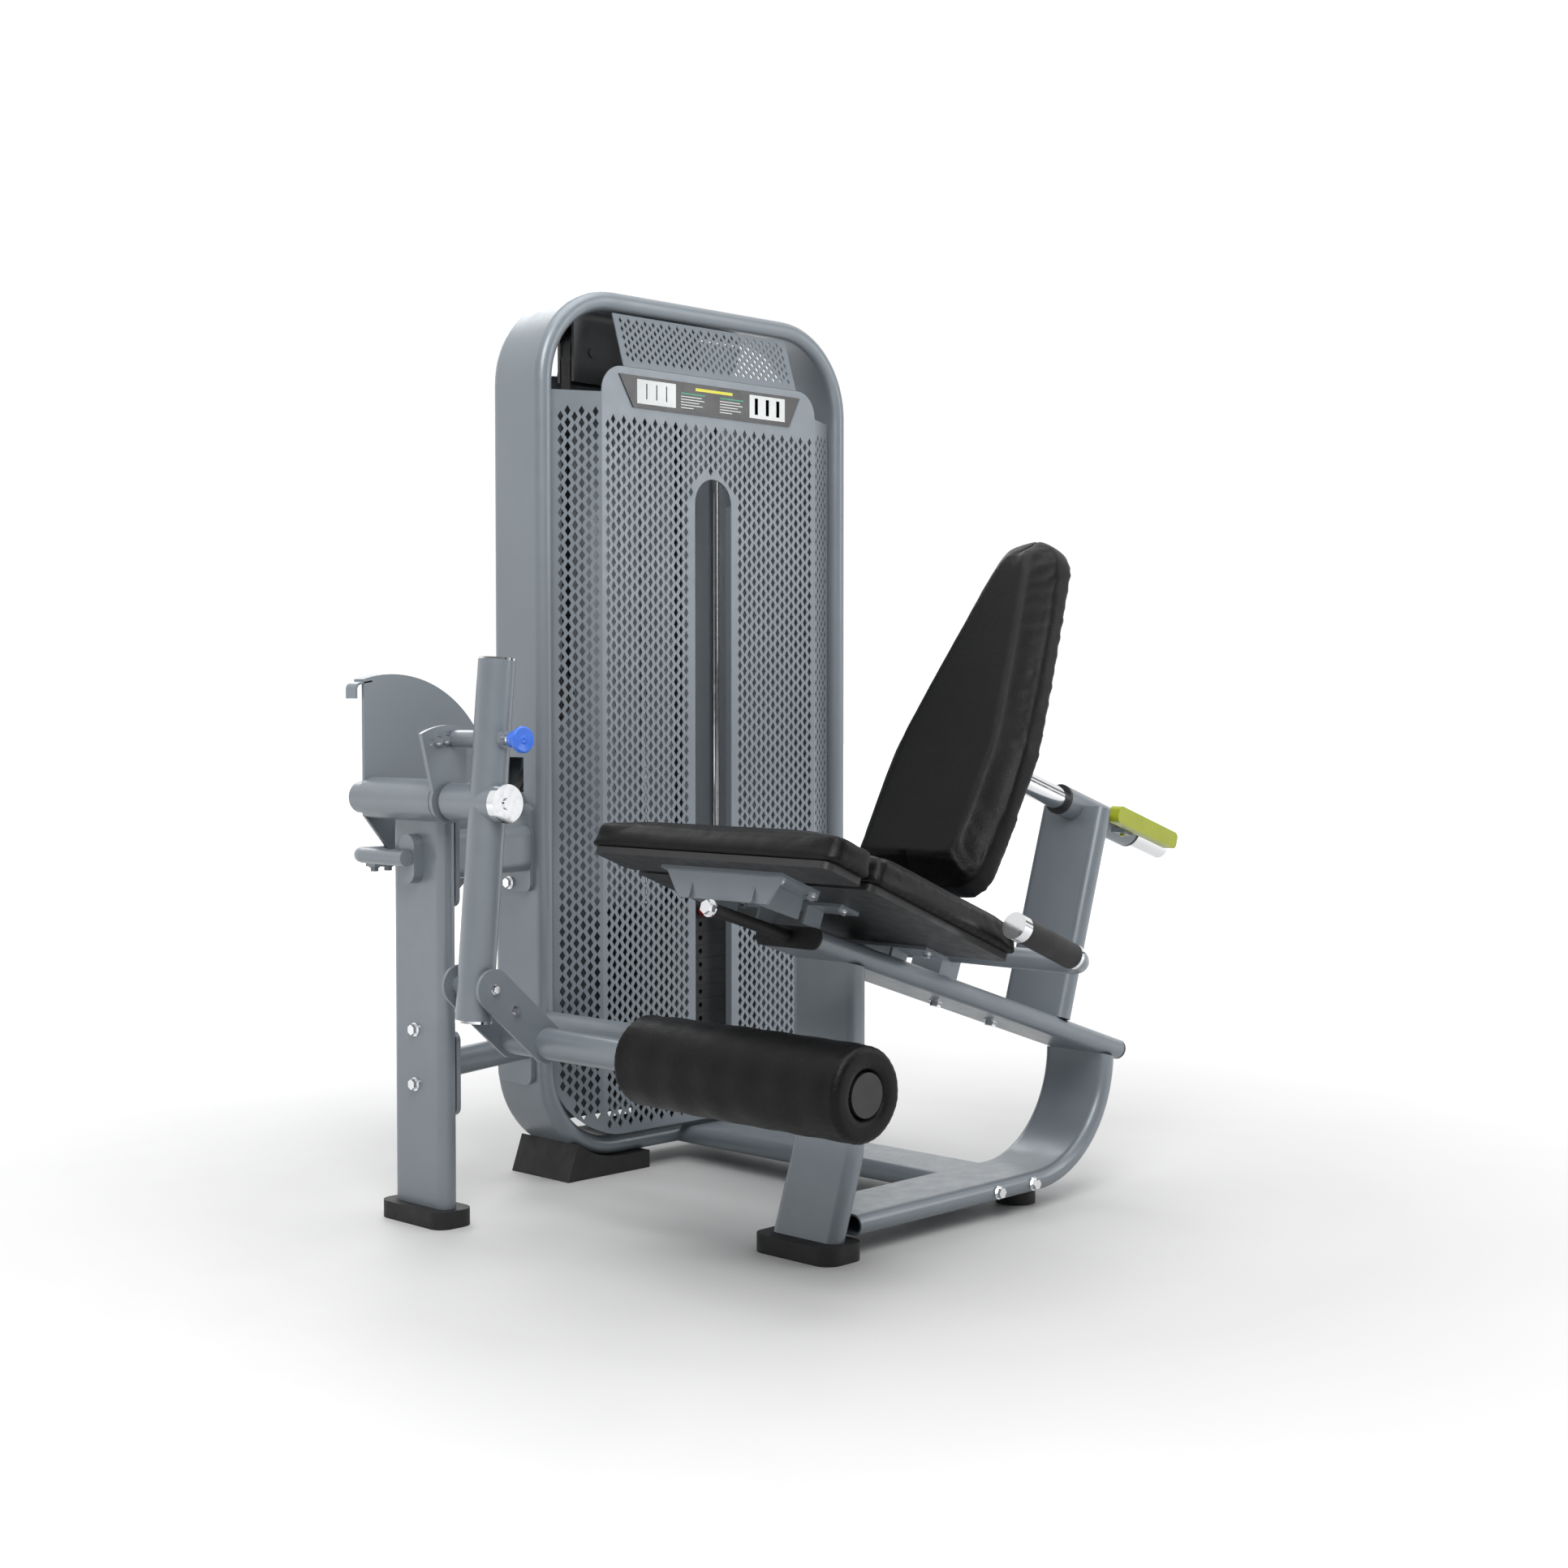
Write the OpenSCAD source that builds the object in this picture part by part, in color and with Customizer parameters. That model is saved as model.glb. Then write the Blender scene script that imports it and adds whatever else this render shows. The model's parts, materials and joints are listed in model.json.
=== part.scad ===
// Leg extension machine: weight tower, drive end, swinging lever and seat frame.
// X runs from the lever end to the back of the seat, Y towards the weight tower, Z up.
// The origin is on the floor under the middle of the machine.

/* [Main frame tube] */
// Depth of the flat-oval main tube
tube_deep = 129; // [110:1:140]
// Thickness of the flat-oval main tube
tube_thick = 32; // [28:1:40]
// Wall of the flat-oval main tube
tube_wall = 3; // [2:0.5:4]

/* [Weight tower] */
// Overall height of the machine
tower_h = 1500; // [1450:5:1560]
// Outside width of the tower ring
tower_w = 747; // [700:1:800]
// Outside corner radius of the tower ring
tower_r = 165; // [140:1:180]
// Clearance under the tower ring
tower_lift = 30; // [24:1:36]
// Position of the tower's middle along X
tower_x = 120.9; // [100:0.1:150]
// Position of the tower's middle plane along Y
tower_y = 456.5; // [430:0.5:480]

/* [Weight stack] */
// Number of plates that stay down
plate_count = 13; // [8:1:14]
// Pitch of the plates
plate_pitch = 24; // [22:0.5:26]
// Width of a plate
plate_w = 290; // [260:5:320]
// Depth of a plate
plate_d = 106; // [90:1:120]
// Spacing of the two guide rods
rod_spacing = 173; // [160:1:190]

/* [Drive end] */
// Distance from the tower's middle to the pivot axis
pivot_reach = 671.5; // [650:0.5:690]
// Height of the pivot axis
pivot_z = 655; // [640:1:670]
// Radius of the cam's rim
cam_r = 198; // [180:1:205]
// Radius of the pivot shaft
shaft_r = 15; // [12:1:18]
// Tilt of the lever at rest, top towards the seat
lever_tilt = 5; // [0:1:8]
// Outside radius of the lever tube
lever_r = 28; // [24:1:30]

/* [Seat] */
// Distance of the seat's middle plane from the tower's middle plane
seat_offset = 697; // [680:1:720]
// Width of the seat pads
seat_w = 490; // [440:5:520]
// Tilt of the seat pads
seat_tilt = 22; // [18:1:24]
// Tilt of the seat beam
beam_tilt = 18; // [15:1:20]
// Lean of the backrest from upright
back_lean = 30; // [24:1:34]
// Length of the backrest pad
back_len = 622; // [560:1:640]

/* [Roller] */
// Radius of the ankle roller pad
roller_r = 66; // [60:1:72]
// Length of the ankle roller pad
roller_len = 430; // [380:5:450]

/* [Hidden] */
$fn = 64;

// Running clearance of a turning or sliding fit
run = 0.05;
// Gap that keeps separate moving pieces apart
gap = 0.5;
// Overlap that makes a cut run past a face
cut = 1;
// Hairline between pieces that are welded or spliced end to end
seam = 0.03;
big = 3000;

frame_paint = "#8b95a0";
dark_paint = "#3b4046";
black_rubber = "#1d1d1f";
black_leather = "#141414";
bright_chrome = "#d9dce0";

half_w = tower_w / 2;
tower_face_x = tower_x - half_w;
ring_mid_z = (tower_h + tower_lift) / 2;
ring_half_h = (tower_h - tower_lift) / 2;
bend_r = tower_r - tube_thick / 2;
inner_half_w = half_w - tube_thick;
ring_floor_z = tower_lift + tube_thick;
ring_ceiling_z = tower_h - tube_thick;
tube_half = tube_deep / 2;

seat_y = tower_y - seat_offset;
pivot_x = tower_x - pivot_reach;
// Post and seat column places
post_x = pivot_x + 17;
post_y = tower_y - 119;
column_x = tower_face_x + tube_thick / 2;
foot_h = 27;
foot_margin = 15;

// Shrouds
sheet = 2;
shroud_front = 87;
shroud_side_y = 45;
shroud_bend = 259.5;
shroud_low = 70;
shroud_shoulder = 1324;
shroud_top = 1371;
shroud_corner = 125;
slot_half = 44.5;
slot_low = 190;
slot_arc_z = 1151;
crest_half = 210;
crest_y = 58;

// Weight stack
rod_r = 9;
stack_base_z = ring_floor_z + 48;
stack_top_z = stack_base_z + plate_count * plate_pitch;
head_z = stack_top_z + 0.3;
stem_r = 12;
pin_r = 4.5;
rod_top_z = 1340;

// Belt and pulleys
belt_y = tower_y + 4;
belt_w = 22;
belt_t = 4;
pulley_r = 36;
pulley_w = 26;
axle_r = 8;
cam_x = pivot_x + 40;
cam_z = pivot_z - 4;
guide_x = tower_face_x + 76;
guide_z = 820;
belt_up_x = guide_x + pulley_r + belt_t / 2 + gap;
top_z = 1400;
belt_pull_r = pulley_r + belt_t / 2 + gap;
front_top_x = belt_up_x + belt_pull_r;
rear_top_x = tower_x - belt_pull_r;
belt_slot_z = 655;
belt_slot_h = 58;

// Drive end, along Y
housing_r = 32.5;
housing_near = tower_y - 194;
housing_far = tower_y - 11;
cam_near = tower_y - 9.5;
cam_t = 6;
rim_far = tower_y + 17;
sector_near = tower_y - 206;
sector_t = 8;
sector_r = 115;
hole_circle = 95;
hole_step = 9.3;
hub_far = tower_y - 215;
hub_near = tower_y - 330;
hub_r = 28.5;
lever_y = tower_y - 297;
lever_up = 213;
lever_down = 322;
knob_z = hole_circle;

// Ankle link, measured down the lever from the pivot
link_drop = 273;
link_len = 135;
link_angle = 37;
link_half = 30;
link_t = 6;
link_gap = 38;
link_x = pivot_x - link_drop * sin(lever_tilt);
link_z = pivot_z - link_drop * cos(lever_tilt);
roller_x = link_x + link_len * cos(link_angle + lever_tilt);
roller_z = link_z - link_len * sin(link_angle + lever_tilt);
roller_tube_r = 24;
roller_far = tower_y - 557;
roller_near = roller_far - roller_len;

// Seat frame
beam_ref_x = tower_x;
beam_ref_z = 324;
beam_front = -464;
beam_rear = 306;
base_z = tower_lift + tube_thick / 2 - 2;
base_end_x = tower_face_x + 630;
base_bend = 184;
cross_x = tower_face_x + 377;
seat_x = tower_face_x - 225;
seat_z = 635;
pad_t = 40;
board_t = 10;
flange_t = 5;
front_pad_l = 86;
rear_pad_start = 91;
rear_pad_l = 332;
back_post_u = 139;
sleeve_w = 367;
sleeve_r = 25;
slide_r = 19;
sleeve_front = -48;
sleeve_back = 144;
slide_back = 247;
pad_foot_x = tower_face_x + 176;
pad_foot_z = 535;
back_t = 55;
plate_up = 205;
plate_t_back = 8;
paddle_u = 92;
handle_y = 283;
handle_r = 16;
grip_r = 19;

// Flat oval, thick along X and deep along Y
module oval(deep, thick) {
  square([thick, deep - thick], center = true);
  for (s = [-1, 1]) translate([0, s * (deep - thick) / 2]) circle(d = thick);
}

module hollow_oval(deep, thick, wall) {
  difference() {
    oval(deep, thick);
    oval(deep - 2 * wall, thick - 2 * wall);
  }
}

// Straight flat-oval tube standing on the XY plane
module oval_tube(length, deep = tube_deep, thick = tube_thick, wall = tube_wall) {
  linear_extrude(length) hollow_oval(deep, thick, wall);
}

// Bend of flat-oval tube in the XZ plane, from start to start + angle
module oval_bend(radius, start, angle) {
  rotate([90, 0, 0]) rotate([0, 0, start]) rotate_extrude(angle = angle)
    translate([radius, 0]) hollow_oval(tube_deep, tube_thick, tube_wall);
}

// Round bar along Y from y0 to y1
module y_bar(r, y0, y1) {
  translate([0, max(y0, y1), 0]) rotate([90, 0, 0]) cylinder(r = r, h = abs(y1 - y0));
}

// Round ring along Y
module y_ring(r_out, r_in, y0, y1) {
  difference() {
    y_bar(r_out, y0, y1);
    y_bar(r_in, min(y0, y1) - cut, max(y0, y1) + cut);
  }
}

// Rounded plate outline
module rounded(w, h, r) {
  square([w - 2 * r, h], center = true);
  square([w, h - 2 * r], center = true);
  for (sx = [-1, 1], sy = [-1, 1]) translate([sx * (w / 2 - r), sy * (h / 2 - r)]) circle(r = r);
}

// Hexagon-head bolt: head outside z = 0, washer under it
module bolt_head(d) {
  cylinder(d = 2.1 * d, h = 0.2 * d);
  translate([0, 0, 0.2 * d]) cylinder(d = 1.7 * d, h = 0.75 * d, $fn = 6);
}

module at_beam() {
  translate([beam_ref_x, seat_y, beam_ref_z]) rotate([0, beam_tilt, 0]) children();
}

module at_seat() {
  translate([seat_x, seat_y, seat_z]) rotate([0, seat_tilt, 0]) children();
}

// Backrest frame: X out of the back of the pad, Z up the pad
module at_back() {
  translate([pad_foot_x, seat_y, pad_foot_z]) rotate([0, back_lean, 0]) children();
}

module at_pivot() {
  translate([pivot_x, 0, pivot_z]) children();
}

// Lever frame: Z up the lever from the pivot
module at_lever() {
  at_pivot() rotate([0, lever_tilt, 0]) children();
}

// Link frame: X from the link pivot towards the roller
module at_link() {
  translate([link_x, lever_y, link_z]) rotate([0, link_angle + lever_tilt, 0]) children();
}

// ---- Weight tower ----

module tower_ring() {
  corner_x = half_w - tower_r;
  corner_z = ring_half_h - tower_r;
  color(frame_paint) difference() {
    translate([tower_x, tower_y, ring_mid_z]) {
      for (i = [0:3]) {
        sx = i == 0 || i == 3 ? 1 : -1;
        sz = i < 2 ? 1 : -1;
        translate([sx * corner_x, 0, sz * corner_z]) oval_bend(bend_r, 90 * i, 90);
      }
      for (s = [-1, 1]) {
        translate([s * (half_w - tube_thick / 2), 0, -corner_z]) oval_tube(2 * corner_z);
        translate([-corner_x, 0, s * (ring_half_h - tube_thick / 2)]) rotate([0, 90, 0])
          oval_tube(2 * corner_x);
      }
    }
    translate([tower_face_x - cut, belt_y - 21, belt_slot_z])
      cube([tube_thick + 2 * cut, 42, belt_slot_h]);
  }
}

// Rubber cradle under one bottom corner of the ring
module tower_foot() {
  wide = tube_deep + 20;
  reach = 230;
  tall = 62;
  difference() {
    translate([-half_w + 46, -wide / 2, 0]) cube([reach - 46, wide, tall]);
    translate([0, wide / 2 + cut, ring_mid_z - tower_lift]) rotate([90, 0, 0])
      linear_extrude(wide + 2 * cut) translate([0, tower_lift])
        rounded(tower_w, 2 * ring_half_h, tower_r);
    translate([-half_w + 46, 0, 0]) rotate([0, 20, 0])
      translate([-100, -wide, -10]) cube([100, 2 * wide, 120]);
  }
}

module tower_feet() {
  color(black_rubber) translate([tower_x, tower_y, 0]) {
    tower_foot();
    mirror([1, 0, 0]) tower_foot();
  }
}

// Bent sheet across the ring, seen from above, bulging towards -Y
module shroud_plan() {
  edge = inner_half_w - 1;
  polygon([[-edge, -shroud_side_y], [-shroud_bend, -shroud_front], [shroud_bend, -shroud_front],
    [edge, -shroud_side_y], [edge, sheet - shroud_side_y], [shroud_bend, sheet - shroud_front],
    [-shroud_bend, sheet - shroud_front], [-edge, sheet - shroud_side_y]]);
}

// Front outline of a shroud, X across and Y up
module shroud_outline() {
  edge = inner_half_w - 1;
  arm = edge - shroud_corner;
  step_r = 45;
  translate([-edge, shroud_low + shroud_corner])
    square([2 * edge, shroud_shoulder - shroud_low - shroud_corner]);
  translate([-arm, shroud_low]) square([2 * arm, shroud_corner + cut]);
  for (s = [-1, 1]) translate([s * arm, shroud_low + shroud_corner]) circle(r = shroud_corner);
  translate([-shroud_bend, shroud_shoulder - cut])
    square([2 * shroud_bend, shroud_top - step_r - shroud_shoulder + cut]);
  translate([-shroud_bend + step_r, shroud_shoulder - cut])
    square([2 * (shroud_bend - step_r), shroud_top - shroud_shoulder + cut]);
  for (s = [-1, 1]) translate([s * (shroud_bend - step_r), shroud_top - step_r]) circle(r = step_r);
}

// Panel that leans from the top of a shroud to the top of the ring
module crest() {
  rise = ring_ceiling_z - 3 - shroud_top;
  lean = atan((shroud_front - crest_y) / rise);
  translate([-crest_half, -shroud_front, shroud_top + 0.5]) rotate([-lean, 0, 0])
    cube([2 * crest_half, sheet, rise / cos(lean)]);
}

module shroud_shell() {
  intersection() {
    linear_extrude(shroud_top + cut) shroud_plan();
    rotate([90, 0, 0]) linear_extrude(shroud_front + cut) shroud_outline();
  }
}

module front_shroud() {
  flange = 14;
  color(frame_paint) translate([tower_x, tower_y, 0]) {
    difference() {
      shroud_shell();
      translate([-slot_half, -shroud_front - cut, slot_low])
        cube([2 * slot_half, sheet + 2 * cut, slot_arc_z - slot_low]);
      translate([0, 0, slot_arc_z]) y_bar(slot_half, -shroud_front - cut, sheet + cut - shroud_front);
    }
    for (s = [-1, 1]) translate([s * (slot_half + sheet / 2) - sheet / 2, sheet - shroud_front, slot_low])
      cube([sheet, flange, slot_arc_z - slot_low]);
    crest();
  }
}

module rear_shroud() {
  color(frame_paint) translate([tower_x, tower_y, 0]) mirror([0, 1, 0]) {
    shroud_shell();
    crest();
  }
}

module placard() {
  color("black") translate([tower_x, tower_y - shroud_front - 0.2, 0]) rotate([90, 0, 0])
    linear_extrude(2)
      polygon([[-222, 1358], [218, 1358], [190, 1304], [-190, 1304]]);
}

module guide_rods() {
  for (s = [-1, 1])
    color(bright_chrome) translate([tower_x + s * rod_spacing / 2, tower_y, ring_floor_z + 8])
      cylinder(r = rod_r, h = rod_top_z - ring_floor_z - 8);
}

// Channel under the ring's top that carries the rods and the top pulleys, the guide pulley's
// bracket, the plate under the stack, and the pulley axles
module tower_brackets() {
  cheek_t = 6;
  cheek_y = pulley_w / 2 + 2;
  cheek_x0 = front_top_x - 40;
  cheek_x1 = rear_top_x + 70;
  color(dark_paint) {
    difference() {
      intersection() {
        for (s = [-1, 1])
          translate([cheek_x0, belt_y + s * (cheek_y + cheek_t / 2) - cheek_t / 2, rod_top_z + 8])
            cube([cheek_x1 - cheek_x0, cheek_t, ring_ceiling_z - rod_top_z - 8]);
        translate([tower_x, tower_y + 200, ring_mid_z]) rotate([90, 0, 0]) linear_extrude(400)
          rounded(tower_w - 2 * tube_thick, 2 * (ring_half_h - tube_thick), tower_r - tube_thick);
      }
      for (x = [front_top_x, rear_top_x]) translate([x, belt_y, top_z]) y_bar(axle_r, -50, 50);
    }
    difference() {
      translate([tower_x - 120, tower_y - 28, rod_top_z]) cube([240, 62, 8]);
      translate([tower_x, belt_y, 0]) cylinder(r = 16, h = big);
      translate([rear_top_x, belt_y - pulley_w / 2 - 1, rod_top_z - cut]) cube([60, pulley_w + 2, 20]);
    }
    translate([tower_x - 135, tower_y - 48, ring_floor_z]) cube([270, 96, 8]);
    difference() {
      for (s = [-1, 1]) translate([tower_face_x + tube_thick, belt_y + s * (cheek_y + cheek_t / 2)
          - cheek_t / 2, guide_z - 30]) cube([66, cheek_t, 60]);
      translate([guide_x, belt_y, guide_z]) y_bar(axle_r, -50, 50);
    }
  }
  color(bright_chrome) for (p = [[guide_x, guide_z], [front_top_x, top_z], [rear_top_x, top_z]])
    translate([p[0], belt_y, p[1]]) y_bar(axle_r, -cheek_y - cheek_t - 4, cheek_y + cheek_t + 4);
}

module plate_block(z, h) {
  difference() {
    translate([-plate_w / 2, -plate_d / 2, z]) cube([plate_w, plate_d, h]);
    for (s = [-1, 1]) translate([s * rod_spacing / 2, 0, z - cut]) cylinder(r = rod_r + 1, h = h + 2 * cut);
    translate([0, 0, z - cut]) cylinder(r = stem_r + 1, h = h + 2 * cut);
    translate([0, 0, z + h / 2]) y_bar(pin_r + run, -plate_d / 2 - cut, 0);
  }
}

module weight_plates() {
  color(dark_paint) translate([tower_x, tower_y, 0])
    for (i = [0:plate_count - 1]) plate_block(stack_base_z + i * plate_pitch, plate_pitch - 0.4);
}

// Rubber cushions under the stack
module rubber_bumpers() {
  for (s = [-1, 1]) color(black_rubber)
    translate([tower_x + s * rod_spacing / 2, tower_y, ring_floor_z + 8]) difference() {
      cylinder(r = 24, h = stack_base_z - ring_floor_z - 8);
      translate([0, 0, -cut]) cylinder(r = rod_r, h = 100);
    }
}

// ---- Drive end ----

bar_y = tower_y + 1;
bar_r = 12;
bar_bend = 30;
pad_proud = 18;
bar_x = post_x - tube_thick / 2 - pad_proud - bar_r - 0.3;
bar_z = 566;

module front_post() {
  color(frame_paint) difference() {
    translate([post_x, post_y, foot_h - 19]) oval_tube(pivot_z - foot_h + 19);
    translate([pivot_x, 0, pivot_z]) y_bar(housing_r, -big, big);
    translate([pivot_x - 100, post_y - 100, pivot_z]) cube([200, 200, 100]);
  }
}

// Rubber trays under the post and the front leg, and the round rubber under the base tube
module leg_feet() {
  color(black_rubber) {
    difference() {
      translate([post_x, post_y, 0]) linear_extrude(foot_h)
        rounded(tube_thick + 2 * foot_margin + 8, tube_deep + 2 * foot_margin, 24);
      translate([post_x, post_y, foot_h - 19]) linear_extrude(80) oval(tube_deep, tube_thick);
    }
    difference() {
      translate([column_foot_x, seat_y, 0]) linear_extrude(foot_h)
        rounded(tube_thick + 2 * foot_margin + 20, tube_deep + 2 * foot_margin, 26);
      leg_solid();
    }
    translate([tower_face_x + 458, seat_y, 0]) cylinder(r = 32, h = base_z - tube_thick / 2);
  }
}

module pivot_housing() {
  color(frame_paint) at_pivot() y_ring(housing_r, 24, housing_near, housing_far);
}

// Bronze bushes in the pivot housing, and the black guide rings of the slide sleeve
module bearing_bushes() {
  bush_l = 25;
  color("#2a2a2c") {
    at_pivot() {
      y_ring(24, shaft_r + run, housing_near, housing_near + bush_l);
      y_ring(24, shaft_r + run, housing_far - bush_l, housing_far);
    }
    at_sleeve() for (u = [sleeve_front - 6, sleeve_back - 20]) translate([u, 0, 0]) difference() {
      union() {
        rotate([0, 90, 0]) cylinder(r = sleeve_r - 3, h = 26);
        translate([u < 0 ? 0 : 20, 0, 0]) rotate([0, 90, 0]) cylinder(r = sleeve_r, h = 6);
      }
      translate([-cut, 0, 0]) rotate([0, 90, 0]) cylinder(r = slide_r + run, h = 40);
    }
  }
}

brace_x0 = post_x + tube_thick / 2;
brace_len = tower_face_x - brace_x0;

// Slanting brace from the post to the ring with a bolted plate at each end
module brace(z, tall, thick, plate_h) {
  plate_t = 8;
  from_y = tower_y - 96;
  to_y = tower_y - 24;
  slant = atan((to_y - from_y) / brace_len);
  intersection() {
    translate([brace_x0, from_y, z]) rotate([0, 0, slant]) translate([-40, 0, 0])
      rotate([0, 90, 0]) rotate([0, 0, 90]) linear_extrude(brace_len + 120)
        hollow_oval(tall, thick, 2.5);
    translate([brace_x0 + plate_t, from_y - 200, z - 100]) cube([brace_len - 2 * plate_t, 500, 200]);
  }
  translate([tower_face_x - plate_t, tower_y, z]) rotate([0, 90, 0]) linear_extrude(plate_t)
    rounded(plate_h, 86, 14);
  translate([brace_x0, post_y + 4, z]) rotate([0, 90, 0]) linear_extrude(plate_t)
    rounded(plate_h, 122, 14);
}

upper_brace_z = 563;
lower_brace_z = 232;

module upper_brace() {
  color(frame_paint) brace(upper_brace_z, 78, 38, 146);
}

module lower_brace() {
  color(frame_paint) brace(lower_brace_z, 44, 36, 130);
}

// Oval boss on the post that the stop bar comes back to
module stop_pad() {
  color(frame_paint) translate([post_x - tube_thick / 2 - pad_proud, post_y, bar_z - 2])
    rotate([0, 90, 0]) linear_extrude(pad_proud) rotate([0, 0, 90]) oval(76, 38);
}

// Bar on the cam that comes back to the post's boss, with the clamp for the belt's end
module stop_bar() {
  color(frame_paint) {
    translate([bar_x, 0, bar_z]) y_bar(bar_r, post_y - 16, bar_y - bar_bend);
    translate([bar_x + bar_bend, bar_y - bar_bend, bar_z]) rotate([0, 0, 90])
      rotate_extrude(angle = 90) translate([bar_bend, 0]) circle(r = bar_r);
    translate([bar_x + bar_bend, bar_y, bar_z]) rotate([0, 90, 0]) cylinder(r = bar_r, h = 55);
    translate([bar_x + 32, bar_y - 10, bar_z - bar_r - 9]) cube([52, 24, 10]);
  }
  for (x = [40, 66]) color(bright_chrome)
    translate([bar_x + x, bar_y + 2, bar_z - bar_r - 9]) rotate([180, 0, 0]) bolt_head(8);
}

module pivot_shaft() {
  color(bright_chrome) at_pivot() y_bar(shaft_r, hub_near - 8, tower_y + 24);
}

// Plate that turns with the shaft, its outline an eccentric arc, with a rim for the belt
module cam_outline() {
  low_cut = [[-16, 0], [-16, -28], [118, -190], [-400, -400], [-400, 400], [-16, 400]];
  difference() {
    translate([40, -4]) circle(r = cam_r, $fn = 160);
    polygon(low_cut);
  }
}

module cam_rim() {
  difference() {
    cam_outline();
    translate([40, -4]) circle(r = cam_r - 4, $fn = 160);
  }
}

module cam() {
  hub_out = 26;
  color(frame_paint) at_pivot() difference() {
    union() {
      translate([0, cam_near + cam_t, 0]) rotate([90, 0, 0]) linear_extrude(cam_t) cam_outline();
      translate([0, rim_far, 0]) rotate([90, 0, 0]) linear_extrude(rim_far - cam_near) cam_rim();
      y_bar(hub_out, cam_near, cam_near + 12);
    }
    y_bar(shaft_r, -big, big);
  }
}

module shaft_collar() {
  color(frame_paint) at_pivot() y_ring(25.5, shaft_r, cam_near + 12, tower_y + 20);
}

// Start-position plate, fixed to the shaft
module sector_plate() {
  color(frame_paint) at_pivot() difference() {
    union() {
      translate([0, sector_near + sector_t, 0]) rotate([90, 0, 0]) rotate([0, 0, -lever_tilt])
        linear_extrude(sector_t) difference() {
          union() {
            circle(r = 34);
            intersection() {
              circle(r = sector_r);
              polygon([[-20, -24], [-102, 219], [24, 242], [28, -18]]);
            }
          }
          for (i = [0:2]) rotate([0, 0, i * hole_step]) translate([0, hole_circle]) circle(r = 6.5);
          rotate([0, 0, 26]) translate([0, hole_circle]) circle(r = 4);
        }
      y_bar(26, sector_near + sector_t, housing_near - gap);
      // bushes round the holes
      for (i = [0:2]) rotate([0, -i * hole_step + lever_tilt, 0]) translate([0, 0, hole_circle])
        y_ring(9, 6.5, sector_near, sector_near - 4);
    }
    y_bar(shaft_r, -big, big);
  }
}

module lever_hub() {
  color(frame_paint) at_pivot() y_ring(hub_r, shaft_r + run, hub_near, hub_far);
}

// Lever tube cut round the hub, with the plunger sleeve and the link's cross tube
module lever_tube() {
  color(frame_paint) at_lever() difference() {
    union() {
      translate([0, lever_y, -lever_down]) cylinder(r = lever_r, h = lever_down + lever_up);
      translate([0, 0, knob_z]) y_bar(13, lever_y - 34, sector_near - 6);
      translate([0, 0, -link_drop]) y_bar(15, lever_y - link_gap + gap, lever_y + link_gap - gap);
    }
    y_bar(hub_r, -big, big);
    translate([0, lever_y, -lever_down - cut]) cylinder(r = lever_r - 3, h = lever_down - link_drop - 15);
    translate([0, lever_y, knob_z + 20]) cylinder(r = lever_r - 3, h = lever_up);
    translate([0, lever_y, -link_drop + 25]) cylinder(r = lever_r - 3, h = link_drop - 60);
    translate([0, 0, knob_z]) y_bar(8 + run, -big, big);
    translate([0, 0, -link_drop]) y_bar(6 + run, -big, big);
  }
}

// Chromed caps: both ends of the lever and the disc on the hub
module lever_caps() {
  color(bright_chrome) {
    at_lever() {
      translate([0, lever_y, lever_up]) cylinder(r = lever_r, h = 3);
      translate([0, lever_y, -lever_down - 4]) cylinder(r = lever_r, h = 4);
    }
    at_pivot() {
      y_bar(hub_r + 0.5, hub_near - 14, hub_near - 8);
      y_ring(hub_r + 0.5, shaft_r + 1, hub_near - 8, hub_near);
      y_bar(9, hub_near - 17, hub_near - 14);
    }
  }
}

module pull_knob() {
  color("#2f6fd0") at_lever() translate([0, 0, knob_z]) {
    y_ring(13, 8, lever_y - 66, lever_y - 48);
    y_bar(17, lever_y - 76, lever_y - 66);
  }
}

module plunger() {
  color(bright_chrome) at_lever() translate([0, 0, knob_z]) {
    y_bar(8, lever_y - 66, sector_near - 20);
    y_bar(6, sector_near - 20, sector_near - 4.6);
  }
}

module link_side(y) {
  translate([0, y + link_t / 2, 0]) rotate([90, 0, 0]) linear_extrude(link_t) difference() {
    union() {
      circle(r = link_half);
      translate([link_len, 0]) circle(r = link_half);
      translate([0, -link_half]) square([link_len, 2 * link_half]);
    }
    circle(r = 6);
    translate([link_len, 0]) circle(r = roller_tube_r);
    translate([stop_u, stop_w]) circle(r = 5);
  }
}

// Place of the stop spacer in the link frame
stop_u = 52;
stop_w = 0;

module link_plates() {
  color(frame_paint) at_link() for (s = [-1, 1]) link_side(s * (link_gap + link_t / 2));
}

module roller_tube() {
  color(frame_paint) at_link() translate([link_len, 0, 0])
    y_ring(roller_tube_r, roller_tube_r - 3, roller_near + 14 - lever_y, link_gap + link_t + 2);
}

// Link pivot bolt, and the sleeved bolt that comes to rest on the lever
module link_bolts() {
  out = link_gap + link_t;
  color(bright_chrome) at_link() {
    y_bar(6, -out - 2, out + 2);
    for (s = [-1, 1]) rotate([s * 90, 0, 0]) translate([0, 0, out]) bolt_head(7);
    translate([stop_u, 0, stop_w]) {
      y_bar(5, -out - 2, out + 2);
      for (s = [-1, 1]) rotate([s * 90, 0, 0]) translate([0, 0, out]) bolt_head(7);
    }
  }
  color(black_rubber) at_link() translate([stop_u, 0, stop_w]) y_ring(11, 5, -link_gap, link_gap);
}

module roller_pad() {
  color(black_leather) translate([roller_x, 0, roller_z]) {
    y_ring(roller_r, roller_tube_r + 6, roller_near, roller_far);
  }
}

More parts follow.
